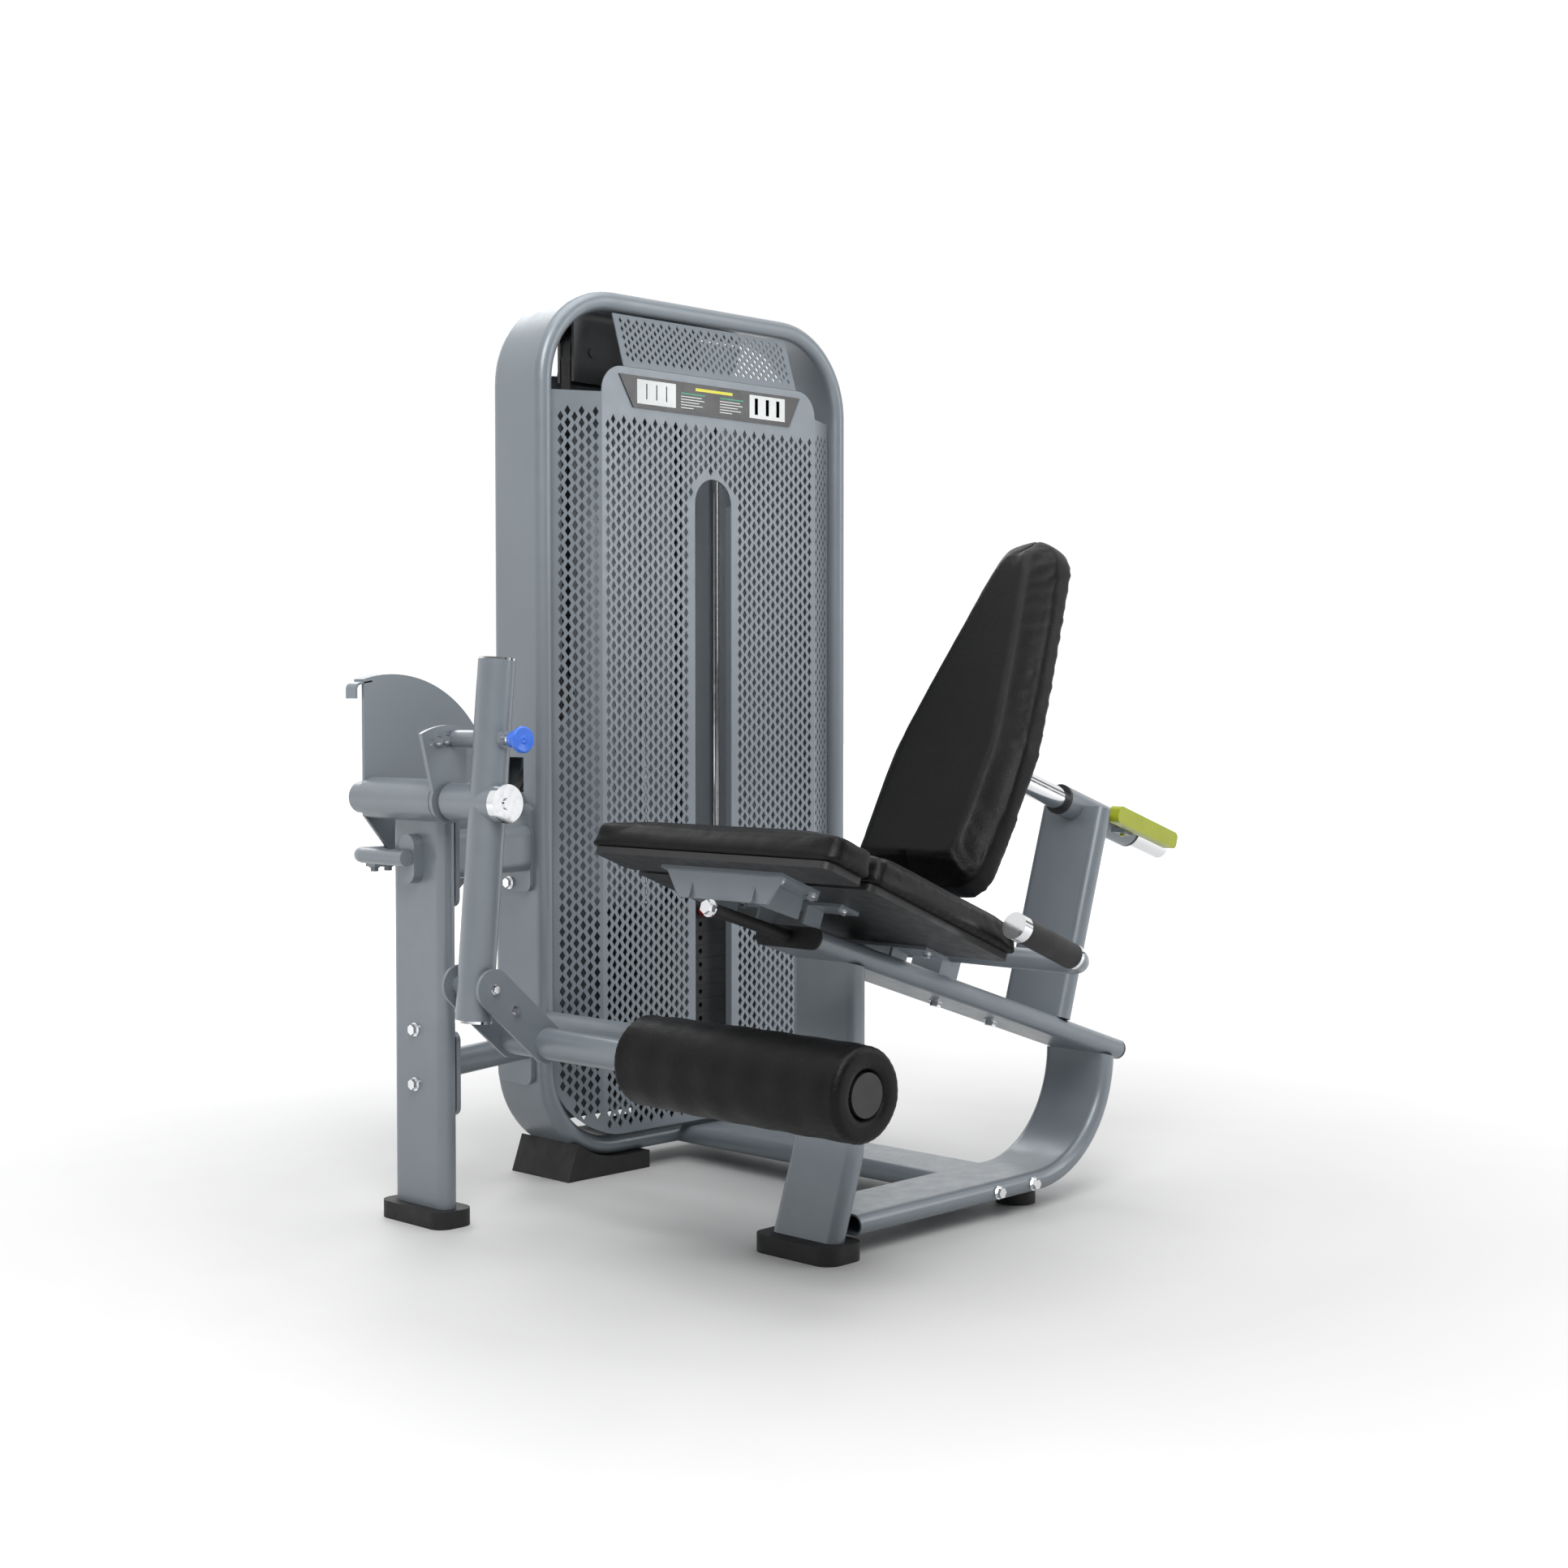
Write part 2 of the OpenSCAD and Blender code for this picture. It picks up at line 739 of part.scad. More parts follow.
// Plastic plugs that carry the pad on the tube
module roller_plugs() {
  color("#262628") translate([roller_x, 0, roller_z]) {
    y_ring(roller_tube_r + 6, roller_tube_r + run, roller_near + 15, roller_near + 60);
    y_ring(roller_tube_r + 6, roller_tube_r + run, roller_far - 45, roller_far);
    y_bar(roller_tube_r + 6, roller_near + 2, roller_near + 13);
    y_ring(roller_tube_r + 6, roller_tube_r + 4, roller_near + 13, roller_near + 15);
  }
}

// ---- Belt ----

cam_span = [guide_x - cam_x, guide_z - cam_z];
cam_dist = norm(cam_span);
belt_angle = atan2(cam_span[1], cam_span[0])
  + asin((cam_r + belt_t / 2 + gap - belt_pull_r) / cam_dist);
belt_run = sqrt(pow(cam_dist, 2) - pow(cam_r + belt_t / 2 + gap - belt_pull_r, 2));

// Belt from the lower side of the cam's rim to the guide pulley
module cam_belt() {
  color("#151515") translate([cam_x, belt_y, cam_z]) rotate([0, -belt_angle, 0])
    translate([1, -belt_w / 2, -cam_r - belt_t - gap]) cube([belt_run - 2, belt_w, belt_t]);
}

module belt_arc(x, z, a0, sweep) {
  translate([x, belt_y, z]) rotate([90, 0, 0]) rotate([0, 0, a0]) rotate_extrude(angle = sweep)
    translate([pulley_r + gap, -belt_w / 2]) square([belt_t, belt_w]);
}

// Belt round the guide pulley, up the tower and over the two top pulleys
module tower_belt() {
  color("#151515") {
    belt_arc(guide_x, guide_z, belt_angle - 90, 90 - belt_angle);
    translate([belt_up_x - belt_t / 2, belt_y - belt_w / 2, guide_z + seam])
      cube([belt_t, belt_w, top_z - guide_z - 2 * seam]);
    belt_arc(front_top_x, top_z, 90, 90);
    translate([front_top_x + seam, belt_y - belt_w / 2, top_z + pulley_r + gap])
      cube([rear_top_x - front_top_x - 2 * seam, belt_w, belt_t]);
    belt_arc(rear_top_x, top_z, 0, 90);
  }
}

module stack_belt() {
  color("#151515") translate([tower_x - belt_t / 2, belt_y - belt_w / 2, head_z + 78])
    cube([belt_t, belt_w, top_z - head_z - 78]);
}

module pulley(x, z) {
  color(dark_paint) translate([x, belt_y, z]) difference() {
    union() {
      y_bar(pulley_r, -pulley_w / 2 + 1, pulley_w / 2 - 1);
      for (s = [-1, 1]) y_bar(pulley_r + 6, s * (pulley_w / 2 - 0.2), s * (pulley_w / 2 - 1.7));
    }
    y_bar(axle_r + run, -pulley_w, pulley_w);
  }
}

module guide_pulley() { pulley(guide_x, guide_z); }
module front_top_pulley() { pulley(front_top_x, top_z); }
module rear_top_pulley() { pulley(rear_top_x, top_z); }

// Top plate with the selector stem and the belt clamp
module stack_head() {
  color(dark_paint) translate([tower_x, tower_y, 0]) {
    difference() {
      translate([-plate_w / 2, -plate_d / 2, head_z]) cube([plate_w, plate_d, plate_pitch]);
      for (s = [-1, 1]) translate([s * rod_spacing / 2, 0, head_z - cut])
        cylinder(r = rod_r + run, h = plate_pitch + 2 * cut);
      translate([0, 0, head_z + plate_pitch / 2]) y_bar(pin_r + run, -plate_d / 2 - cut, 0);
    }
    difference() {
      translate([0, 0, stack_base_z + 10]) cylinder(r = stem_r, h = head_z - stack_base_z - 10);
      for (i = [0:plate_count - 1])
        translate([0, 0, stack_base_z + (i + 0.5) * plate_pitch - 0.2]) y_bar(pin_r + run, -40, 40);
    }
    translate([-16, -14, head_z + plate_pitch]) cube([32, 38, 54]);
  }
}

module selector_pin() {
  color("#c02020") translate([tower_x, tower_y, head_z + plate_pitch / 2]) {
    y_bar(pin_r, -plate_d / 2 - 6, -6);
    y_bar(10, -plate_d / 2 - 26, -plate_d / 2 - 6);
  }
}

// ---- Seat frame ----

// Slanting lower part of the front leg
leg_lean = 19;
leg_bend_z = 175;
leg_bend_r = 140;
leg_turn = leg_bend_r * sin(leg_lean);
leg_drop = leg_bend_z - leg_turn - foot_h + 19;
column_foot_x = column_x - leg_bend_r * (1 - cos(leg_lean)) - leg_drop * tan(leg_lean) + 4;

module leg_end(hollow) {
  translate([column_x - leg_bend_r + leg_bend_r * cos(leg_lean), seat_y, leg_bend_z - leg_turn])
    rotate([0, leg_lean, 0]) translate([0, 0, -leg_drop / cos(leg_lean) - 12])
      linear_extrude(leg_drop / cos(leg_lean) + 12 - seam)
        if (hollow) hollow_oval(tube_deep, tube_thick, tube_wall); else oval(tube_deep, tube_thick);
}

module leg_solid() {
  intersection() {
    leg_end(false);
    translate([-big / 2, -big / 2, foot_h - 19]) cube(big);
  }
}

// Column from the beam down to the bend, then the leaning leg
module seat_column() {
  color(frame_paint) difference() {
    union() {
      translate([column_x, seat_y, leg_bend_z + seam]) oval_tube(300);
      translate([column_x - leg_bend_r, seat_y, leg_bend_z]) oval_bend(leg_bend_r, -leg_lean, leg_lean);
      leg_end(true);
    }
    at_beam() translate([-big / 2, -big / 2, -tube_thick / 2]) cube(big);
    translate([-big / 2, -big / 2, foot_h - 19 - big]) cube(big);
  }
}

// Tube along the floor that bends up to the rear of the beam
module base_tube() {
  color(frame_paint) difference() {
    union() {
      translate([column_x, seat_y, base_z]) rotate([0, 90, 0])
        oval_tube(base_end_x - base_bend - column_x);
      translate([base_end_x - base_bend, seat_y, base_z + base_bend]) oval_bend(base_bend, -90, 90);
      translate([base_end_x, seat_y, base_z + base_bend]) oval_tube(120);
    }
    at_beam() translate([-big / 2, -big / 2, -tube_thick / 2]) cube(big);
    base_leg_cut();
  }
}

// The leg's own space, and everything ahead of it
module base_leg_cut() {
  translate([column_x - leg_bend_r, seat_y, leg_bend_z]) rotate([90, 0, 0])
    linear_extrude(2 * tube_deep, center = true) union() {
      circle(r = leg_bend_r + tube_thick / 2);
      rotate([0, 0, -leg_lean]) translate([-big, -big]) square([big + leg_bend_r + tube_thick / 2, big]);
    }
}

module lateral_brace() {
  color(frame_paint) difference() {
    translate([column_x, tower_y, 251]) rotate([90, 0, 0])
      oval_tube(tower_y - seat_y, 80, 32, 2.5);
    translate([column_x, tower_y, 0]) linear_extrude(big) oval(tube_deep, tube_thick + 8);
    translate([column_x, seat_y, 0]) linear_extrude(big) oval(tube_deep, tube_thick + 8);
    translate([column_x - 60, seat_y - 100, 0]) cube([120, 110, big]);
    translate([column_x - 60, tower_y - 10, 0]) cube([120, 110, big]);
  }
}

// Floor tube from the ring to the base tube, with its bolted end plate
module floor_cross_tube() {
  from_y = tower_y - tube_half;
  to_y = seat_y + tube_half;
  color(frame_paint) difference() {
    translate([cross_x, from_y + tube_thick / 2, base_z]) rotate([90, 0, 0]) rotate([0, 0, 90])
      oval_tube(from_y - to_y + tube_thick);
    translate([0, tower_y, base_z + 2]) rotate([0, 90, 0])
      linear_extrude(big, center = true) oval(tube_deep, tube_thick);
    translate([-big / 2, tower_y - 40, base_z - 60]) cube([big, 80, 120]);
    translate([0, seat_y, base_z]) rotate([0, 90, 0])
      linear_extrude(big, center = true) oval(tube_deep, tube_thick);
    translate([-big / 2, seat_y - 40, base_z - 60]) cube([big, 80, 120]);
  }
}

module seat_beam() {
  color(frame_paint) at_beam() translate([beam_front, 0, 0]) rotate([0, 90, 0])
    oval_tube(beam_rear - beam_front);
}

// Plastic caps in both ends of the beam, and the long buffer bolt on the front one
module beam_caps() {
  color(black_rubber) at_beam() {
    for (u = [beam_front - 4, beam_rear]) translate([u, 0, 0]) rotate([0, 90, 0])
      linear_extrude(4) oval(tube_deep, tube_thick);
    translate([beam_front - 166, 0, 0]) rotate([0, 90, 0]) cylinder(r = 9, h = 162);
  }
}

module front_seat_bracket() {
  flange_u = 40;
  flange_l = 112;
  flange_half = 120;
  web_half = 62;
  color(frame_paint) {
    at_seat() difference() {
      translate([flange_u, -flange_half, -pad_t - board_t - flange_t])
        cube([flange_l, 2 * flange_half, flange_t]);
      for (sx = [0, 1]) translate([flange_u + flange_l, (2 * sx - 1) * flange_half,
          -pad_t - board_t - flange_t - cut]) rotate([0, 0, 45]) cube([44, 44, 30], center = true);
    }
    difference() {
      at_seat() translate([flange_u + 8, 0, -pad_t - board_t - flange_t]) {
        // front web, leaning back to the beam
        rotate([0, -16, 0]) rotate([0, 90, 0]) linear_extrude(5)
          polygon([[0, -flange_half + 6], [0, flange_half - 6], [74, web_half], [120, web_half],
            [120, -web_half], [74, -web_half]]);
        for (s = [-1, 1]) translate([4, s * web_half - 2.5, -130]) cube([98, 5, 130]);
      }
      at_beam() translate([-big / 2, -big / 2, tube_thick / 2 - big]) cube(big);
      at_beam() translate([beam_front - big, -big / 2, -big / 2 - 17]) cube([big - 0.01, big, big / 2 + 17 + 16]);
      at_seat() translate([-big / 2, -big / 2, -pad_t - board_t - flange_t]) cube(big);
    }
  }
}

module rear_seat_brackets() {
  color(frame_paint) for (u = [197, 395]) {
    at_seat() translate([u - 20, -112, -pad_t - board_t - flange_t]) cube([40, 224, flange_t]);
    difference() {
      at_seat() for (s = [-1, 1]) translate([u - 18, s * 45 - 2.5, -pad_t - board_t - 80])
        cube([36, 5, 80 - flange_t]);
      at_beam() translate([-big / 2, -big / 2, tube_thick / 2 - big]) cube(big);
    }
  }
}

module seat_boards() {
  inset = 12;
  color("#1a1a1a") at_seat() {
    translate([front_pad_l / 2, 0, -pad_t - board_t]) linear_extrude(board_t)
      rounded(front_pad_l - 8, seat_w - 2 * inset, 14);
    translate([rear_pad_start + rear_pad_l / 2, 0, -pad_t - board_t]) linear_extrude(board_t)
      rounded(rear_pad_l - 8, seat_w - 2 * inset, 14);
  }
}

module front_seat_pad() {
  color(black_leather) at_seat() translate([front_pad_l / 2, 0, -pad_t]) linear_extrude(pad_t)
    rounded(front_pad_l, seat_w, 18);
}

module rear_seat_pad() {
  color(black_leather) at_seat() translate([rear_pad_start + rear_pad_l / 2, 0, -pad_t])
    linear_extrude(pad_t) rounded(rear_pad_l, seat_w, 18);
}

module at_sleeve() {
  at_beam() translate([back_post_u, 0, sleeve_w]) children();
}

module back_post() {
  color(frame_paint) difference() {
    at_beam() translate([back_post_u, 0, tube_thick / 2]) oval_tube(sleeve_w - tube_thick / 2);
    at_sleeve() rotate([0, 90, 0]) cylinder(r = sleeve_r, h = 600, center = true);
    at_sleeve() translate([-100, -100, 0]) cube(200);
  }
}

module slide_sleeve() {
  color(frame_paint) at_sleeve() difference() {
    union() {
      translate([sleeve_front, 0, 0]) rotate([0, 90, 0])
        cylinder(r = sleeve_r, h = sleeve_back - sleeve_front);
      // ears for the paddle's pin
      for (w = [-18, 10]) translate([paddle_u - 12, -sleeve_r - 19, w]) cube([24, 26, 8]);
    }
    rotate([0, 90, 0]) cylinder(r = slide_r + 2, h = 800, center = true);
    for (u = [sleeve_front - 10, sleeve_back - 20]) translate([u, 0, 0]) rotate([0, 90, 0])
      cylinder(r = sleeve_r - 3, h = 30);
    translate([paddle_u, -sleeve_r - 8, -30]) cylinder(r = 4 + run, h = 60);
  }
}

// ---- Backrest ----

tube_reach = slide_tip();

// Where the slide tube's axis meets the back plate, measured along the sleeve
function slide_tip() = let (
    sx = beam_ref_x + back_post_u * cos(beam_tilt) + sleeve_w * sin(beam_tilt),
    sz = beam_ref_z - back_post_u * sin(beam_tilt) + sleeve_w * cos(beam_tilt),
    px = pad_foot_x + (back_t + plate_t_back) * cos(back_lean),
    pz = pad_foot_z - (back_t + plate_t_back) * sin(back_lean),
    rel = [px - sx, pz - sz],
    n = [cos(back_lean), -sin(back_lean)],
    d = [cos(beam_tilt), -sin(beam_tilt)])
  (rel * n) / (d * n);

module slide_tube() {
  color(bright_chrome) difference() {
    at_sleeve() translate([tube_reach - 30, 0, 0]) rotate([0, 90, 0])
      cylinder(r = slide_r, h = slide_back - tube_reach + 30);
    at_sleeve() translate([tube_reach + 40, 0, 0]) rotate([0, 90, 0]) cylinder(r = slide_r - 3, h = 600);
    at_back() translate([back_t + plate_t_back - big, -big / 2, -big / 2]) cube(big);
  }
}

module back_plate() {
  color(frame_paint) at_back() translate([back_t, 0, plate_up]) rotate([0, 90, 0])
    linear_extrude(plate_t_back) rounded(260, 120, 12);
}

// Outline of the backrest: widest low down, tapering to a round top, X across and Y up
module back_outline() {
  foot_half = 131;
  top_r = 66;
  hull() {
    for (s = [-1, 1]) translate([s * (foot_half - 40), 40]) circle(r = 40, $fn = 32);
    for (s = [-1, 1]) translate([s * (foot_half - 52), 235]) circle(r = 46, $fn = 32);
    translate([0, back_len - top_r]) circle(r = top_r, $fn = 32);
  }
}

module backrest_pad() {
  color(black_leather) at_back() rotate([90, 0, 90]) linear_extrude(back_t) back_outline();
}

module adjust_paddle() {
  blade_l = 176;
  blade_y = -sleeve_r - 33;
  color("#b5c211") at_sleeve() translate([24 + blade_l / 2, blade_y, 0]) rotate([90, 0, 0])
    linear_extrude(20, center = true) rounded(blade_l, 28, 9);
  color(bright_chrome) at_sleeve() {
    translate([paddle_u, -sleeve_r - 8, -22]) cylinder(r = 4, h = 44);
    translate([paddle_u - 4, blade_y + 9, -4]) cube([8, 15, 8]);
  }
}

// ---- Handles ----

handle_u = 535;
handle_w = -14;
grip_l = 132;
bend_out = 38;

module each_handle() {
  at_seat() for (s = [-1, 1]) mirror([0, s < 0 ? 0 : 1, 0]) children();
}

// Bar across the beam that turns forward along both sides of the seat, on a saddle
module handle_bars() {
  color(frame_paint) {
    each_handle() {
      translate([handle_u, 0, handle_w]) y_bar(handle_r, bend_out - handle_y, 0);
      translate([handle_u - bend_out, bend_out - handle_y, handle_w]) rotate([0, 0, -90])
        rotate_extrude(angle = 90) translate([bend_out, 0]) circle(r = handle_r);
      translate([handle_u - bend_out - grip_l - 12, -handle_y, handle_w]) rotate([0, 90, 0])
        cylinder(r = 13, h = grip_l + 12);
    }
    difference() {
      at_seat() translate([handle_u - 22, -30, handle_w - 60]) cube([44, 60, 60]);
      at_beam() translate([-big / 2, -big / 2, tube_thick / 2 - big]) cube(big);
      at_seat() translate([handle_u, 0, handle_w]) y_bar(handle_r, -60, 60);
    }
  }
}

module handle_grips() {
  color(black_rubber) each_handle()
    translate([handle_u - bend_out - grip_l, -handle_y, handle_w]) rotate([0, 90, 0]) difference() {
      cylinder(r = grip_r, h = grip_l - 6);
      translate([0, 0, -cut]) cylinder(r = 13, h = grip_l + 2 * cut);
    }
}

module handle_caps() {
  color(bright_chrome) each_handle() {
    translate([handle_u - bend_out - grip_l - 18, -handle_y, handle_w]) rotate([0, 90, 0]) difference() {
      cylinder(r = grip_r + 1, h = 18);
      translate([0, 0, 6]) cylinder(r = 13, h = 30);
    }
    translate([handle_u - bend_out - 6, -handle_y, handle_w]) rotate([0, 90, 0]) difference() {
      cylinder(r = grip_r, h = 6);
      translate([0, 0, -cut]) cylinder(r = 13, h = 20);
    }
  }
}

// ---- Fasteners ----

module frame_bolts() {
  d = 10;
  under = -pad_t - board_t - flange_t;
  color(bright_chrome) {
    // lower brace, through the post
    for (z = [-18, 67]) translate([post_x - tube_thick / 2, post_y + 4, lower_brace_z + z])
      rotate([0, -90, 0]) bolt_head(d);
    // upper brace, on the ring
    for (z = [-60, 60]) translate([tower_face_x - 8, tower_y + 10, upper_brace_z + z])
      rotate([0, -90, 0]) bolt_head(d);
    // cross tube, through the base tube
    for (x = [-44, 44]) translate([cross_x + x, seat_y - tube_half, base_z]) rotate([90, 0, 0]) bolt_head(d);
    // beam, from below
    for (u = [-15, 127]) at_beam() translate([u - 100, 0, -tube_thick / 2]) rotate([180, 0, 0]) bolt_head(d);
    // seat pads, from below
    for (u = [62, 128], s = [-1, 1]) at_seat() translate([u, s * 98, under]) rotate([180, 0, 0]) bolt_head(7);
    for (u = [197, 395], s = [-1, 1]) at_seat() translate([u, s * 98, under]) rotate([180, 0, 0]) bolt_head(7);
    // buffer bolt in the front of the beam
    at_beam() translate([beam_front - 166, 0, 0]) rotate([0, -90, 0]) bolt_head(12);
  }
}

tower_ring();
tower_feet();
front_shroud();
rear_shroud();
placard();
guide_rods();
tower_brackets();
weight_plates();
rubber_bumpers();
front_post();
leg_feet();
pivot_housing();
bearing_bushes();
upper_brace();
lower_brace();
stop_bar();
lateral_brace();
floor_cross_tube();
seat_column();
base_tube();
stop_pad();
seat_beam();
beam_caps();
front_seat_bracket();
rear_seat_brackets();
seat_boards();
front_seat_pad();
rear_seat_pad();
back_post();
slide_sleeve();
handle_bars();
handle_grips();
handle_caps();
frame_bolts();
tower_belt();
cam_belt();
stack_belt();
pivot_shaft();
cam();
shaft_collar();
sector_plate();
lever_hub();
lever_tube();
lever_caps();
pull_knob();
plunger();
link_plates();
roller_tube();
link_bolts();
roller_pad();
roller_plugs();
stack_head();
selector_pin();
guide_pulley();
rear_top_pulley();
front_top_pulley();
slide_tube();
back_plate();
backrest_pad();
adjust_paddle();
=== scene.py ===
import json
import math

import bmesh
import bpy
import numpy as np
from mathutils import Matrix, Vector, noise
from mathutils.geometry import delaunay_2d_cdt


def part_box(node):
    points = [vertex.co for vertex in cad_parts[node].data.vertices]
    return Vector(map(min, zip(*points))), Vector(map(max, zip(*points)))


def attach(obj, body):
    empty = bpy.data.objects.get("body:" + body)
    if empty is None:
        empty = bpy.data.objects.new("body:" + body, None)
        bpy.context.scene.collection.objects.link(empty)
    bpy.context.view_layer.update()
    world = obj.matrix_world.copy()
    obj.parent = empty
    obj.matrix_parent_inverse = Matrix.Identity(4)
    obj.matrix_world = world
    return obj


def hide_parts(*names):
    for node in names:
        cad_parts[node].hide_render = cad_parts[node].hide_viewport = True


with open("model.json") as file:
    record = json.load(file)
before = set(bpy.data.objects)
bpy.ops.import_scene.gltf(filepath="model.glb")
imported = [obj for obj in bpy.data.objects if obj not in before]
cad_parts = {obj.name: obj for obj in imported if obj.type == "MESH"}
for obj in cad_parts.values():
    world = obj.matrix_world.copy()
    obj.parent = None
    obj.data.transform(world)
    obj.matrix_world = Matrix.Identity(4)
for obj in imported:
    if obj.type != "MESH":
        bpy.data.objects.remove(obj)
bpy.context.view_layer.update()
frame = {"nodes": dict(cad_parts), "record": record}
nodes = frame["nodes"]
scene = bpy.context.scene

ring_lo, ring_hi = (Vector(c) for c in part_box("tower_ring"))
TX = (ring_lo.x + ring_hi.x) / 2
TY = (ring_lo.y + ring_hi.y) / 2
SEAT_Y = TY - 0.697


# ---------------------------------------------------------------- camera
def add_camera():
    data = bpy.data.cameras.new("camera")
    data.sensor_width = 36.0
    data.lens = 51.43
    data.clip_end = 60
    cam = bpy.data.objects.new("camera", data)
    scene.collection.objects.link(cam)
    cam.location = (ring_lo.x - 2.3816, TY - 2.9209, 0.8026)
    turn, dip = math.radians(44.007), math.radians(2.058)
    ahead = Vector((math.cos(turn) * math.cos(dip), math.sin(turn) * math.cos(dip), -math.sin(dip)))
    cam.rotation_euler = ahead.to_track_quat("-Z", "Y").to_euler()
    scene.camera = cam


add_camera()


# ---------------------------------------------------------------- materials
class Maker:
    """Small helper that lays out one material's nodes."""

    def __init__(self, name):
        self.mat = bpy.data.materials.new(name)
        self.mat.use_nodes = True
        self.tree = self.mat.node_tree
        self.bsdf = self.tree.nodes["Principled BSDF"]
        self.where = self.add("ShaderNodeTexCoord").outputs["Object"]

    def add(self, kind, **props):
        node = self.tree.nodes.new(kind)
        for key, value in props.items():
            setattr(node, key, value)
        return node

    def link(self, a, b):
        self.tree.links.new(a, b)

    def noise(self, scale, detail=3.0, rough=0.55, where=None):
        n = self.add("ShaderNodeTexNoise")
        n.inputs["Scale"].default_value = scale
        n.inputs["Detail"].default_value = detail
        n.inputs["Roughness"].default_value = rough
        self.link(where or self.where, n.inputs["Vector"])
        return n.outputs["Fac"]

    def cells(self, scale, feature="F1"):
        n = self.add("ShaderNodeTexVoronoi", feature=feature)
        n.inputs["Scale"].default_value = scale
        self.link(self.where, n.inputs["Vector"])
        return n.outputs["Distance"]

    def stretched(self, x, y, z):
        n = self.add("ShaderNodeMapping")
        n.inputs["Scale"].default_value = (x, y, z)
        self.link(self.where, n.inputs["Vector"])
        return n.outputs["Vector"]

    def ramp(self, fac, stops):
        n = self.add("ShaderNodeValToRGB")
        while len(n.color_ramp.elements) < len(stops):
            n.color_ramp.elements.new(0.5)
        for e, (pos, col) in zip(n.color_ramp.elements, stops):
            e.position = pos
            e.color = (*col, 1.0) if len(col) == 3 else col
        self.link(fac, n.inputs["Fac"])
        return n.outputs["Color"]

    def span(self, fac, lo, hi, a=0.0, b=1.0):
        n = self.add("ShaderNodeMapRange")
        for key, v in (("From Min", a), ("From Max", b), ("To Min", lo), ("To Max", hi)):
            n.inputs[key].default_value = v
        self.link(fac, n.inputs["Value"])
        return n.outputs["Result"]

    def bump(self, height, strength, distance, normal=None):
        n = self.add("ShaderNodeBump")
        n.inputs["Strength"].default_value = strength
        n.inputs["Distance"].default_value = distance
        self.link(height, n.inputs["Height"])
        if normal:
            self.link(normal, n.inputs["Normal"])
        return n.outputs["Normal"]

    def mul(self, a, b):
        n = self.add("ShaderNodeMath", operation="MULTIPLY")
        self.link(a, n.inputs[0])
        self.link(b, n.inputs[1])
        return n.outputs[0]

    def set(self, **values):
        for key, v in values.items():
            self.bsdf.inputs[key.replace("_", " ")].default_value = v

    def wire(self, socket, out):
        self.link(out, self.bsdf.inputs[socket])


def shade(rgb, k):
    return tuple(min(1.0, c * k) for c in rgb)


def powder_coat(name, rgb, rough=0.36):
    m = Maker(name)
    cloud = m.noise(3.5, 4)
    m.wire("Base Color", m.ramp(cloud, [(0.3, shade(rgb, 0.95)), (0.7, shade(rgb, 1.05))]))
    m.wire("Roughness", m.span(m.noise(40, 3), rough - 0.05, rough + 0.07, 0.3, 0.7))
    peel = m.bump(m.noise(420, 2), 0.10, 0.0006)
    m.wire("Normal", m.bump(m.noise(1500, 1), 0.05, 0.0003, peel))
    m.set(Metallic=0.25, Coat_Weight=0.25, Coat_Roughness=0.22)
    return m.mat


def chrome(name, rgb, rough=0.07):
    m = Maker(name)
    m.wire("Base Color", m.ramp(m.noise(12, 3), [(0.3, shade(rgb, 0.95)), (0.7, rgb)]))
    m.wire("Roughness", m.span(m.noise(90, 4), rough, rough + 0.09, 0.35, 0.75))
    m.wire("Normal", m.bump(m.noise(900, 2), 0.02, 0.0002))
    m.set(Metallic=1.0)
    return m.mat


def rubber(name, rgb, rough=0.6):
    m = Maker(name)
    m.wire("Base Color", m.ramp(m.noise(9, 5), [(0.3, shade(rgb, 0.8)), (0.75, shade(rgb, 1.5))]))
    m.wire("Roughness", m.span(m.noise(30, 4), rough - 0.08, rough + 0.1, 0.3, 0.7))
    fine = m.bump(m.noise(1400, 2), 0.35, 0.0004)
    m.wire("Normal", m.bump(m.noise(240, 3), 0.15, 0.0008, fine))
    return m.mat


def leather(name, rgb):
    m = Maker(name)
    m.wire("Base Color", m.ramp(m.noise(5, 5), [(0.3, shade(rgb, 0.75)), (0.75, shade(rgb, 1.35))]))
    m.wire("Roughness", m.span(m.noise(22, 4), 0.38, 0.52, 0.3, 0.7))
    grain = m.span(m.cells(620, "SMOOTH_F1"), 1.0, 0.0, 0.0, 0.7)
    pore = m.bump(grain, 0.42, 0.00055)
    crease = m.bump(m.noise(95, 5, 0.65), 0.16, 0.0016, pore)
    m.wire("Normal", m.bump(m.noise(9, 3), 0.12, 0.006, crease))
    m.bsdf.inputs["Specular IOR Level"].default_value = 0.20
    return m.mat


def cast_iron(name, rgb):
    m = Maker(name)
    m.wire("Base Color", m.ramp(m.noise(14, 5), [(0.3, shade(rgb, 0.8)), (0.7, shade(rgb, 1.4))]))
    m.wire("Roughness", m.span(m.noise(60, 4), 0.38, 0.55, 0.3, 0.7))
    m.wire("Normal", m.bump(m.noise(330, 4), 0.3, 0.0008))
    m.set(Metallic=0.3)
    return m.mat


def plastic(name, rgb, rough=0.4, grain=0.2, coat=0.0):
    m = Maker(name)
    m.wire("Base Color", m.ramp(m.noise(10, 4), [(0.3, shade(rgb, 0.88)), (0.7, shade(rgb, 1.1))]))
    m.wire("Roughness", m.span(m.noise(50, 3), rough - 0.05, rough + 0.07, 0.3, 0.7))
    m.wire("Normal", m.bump(m.noise(700, 2), grain, 0.0004))
    m.set(Coat_Weight=coat)
    return m.mat


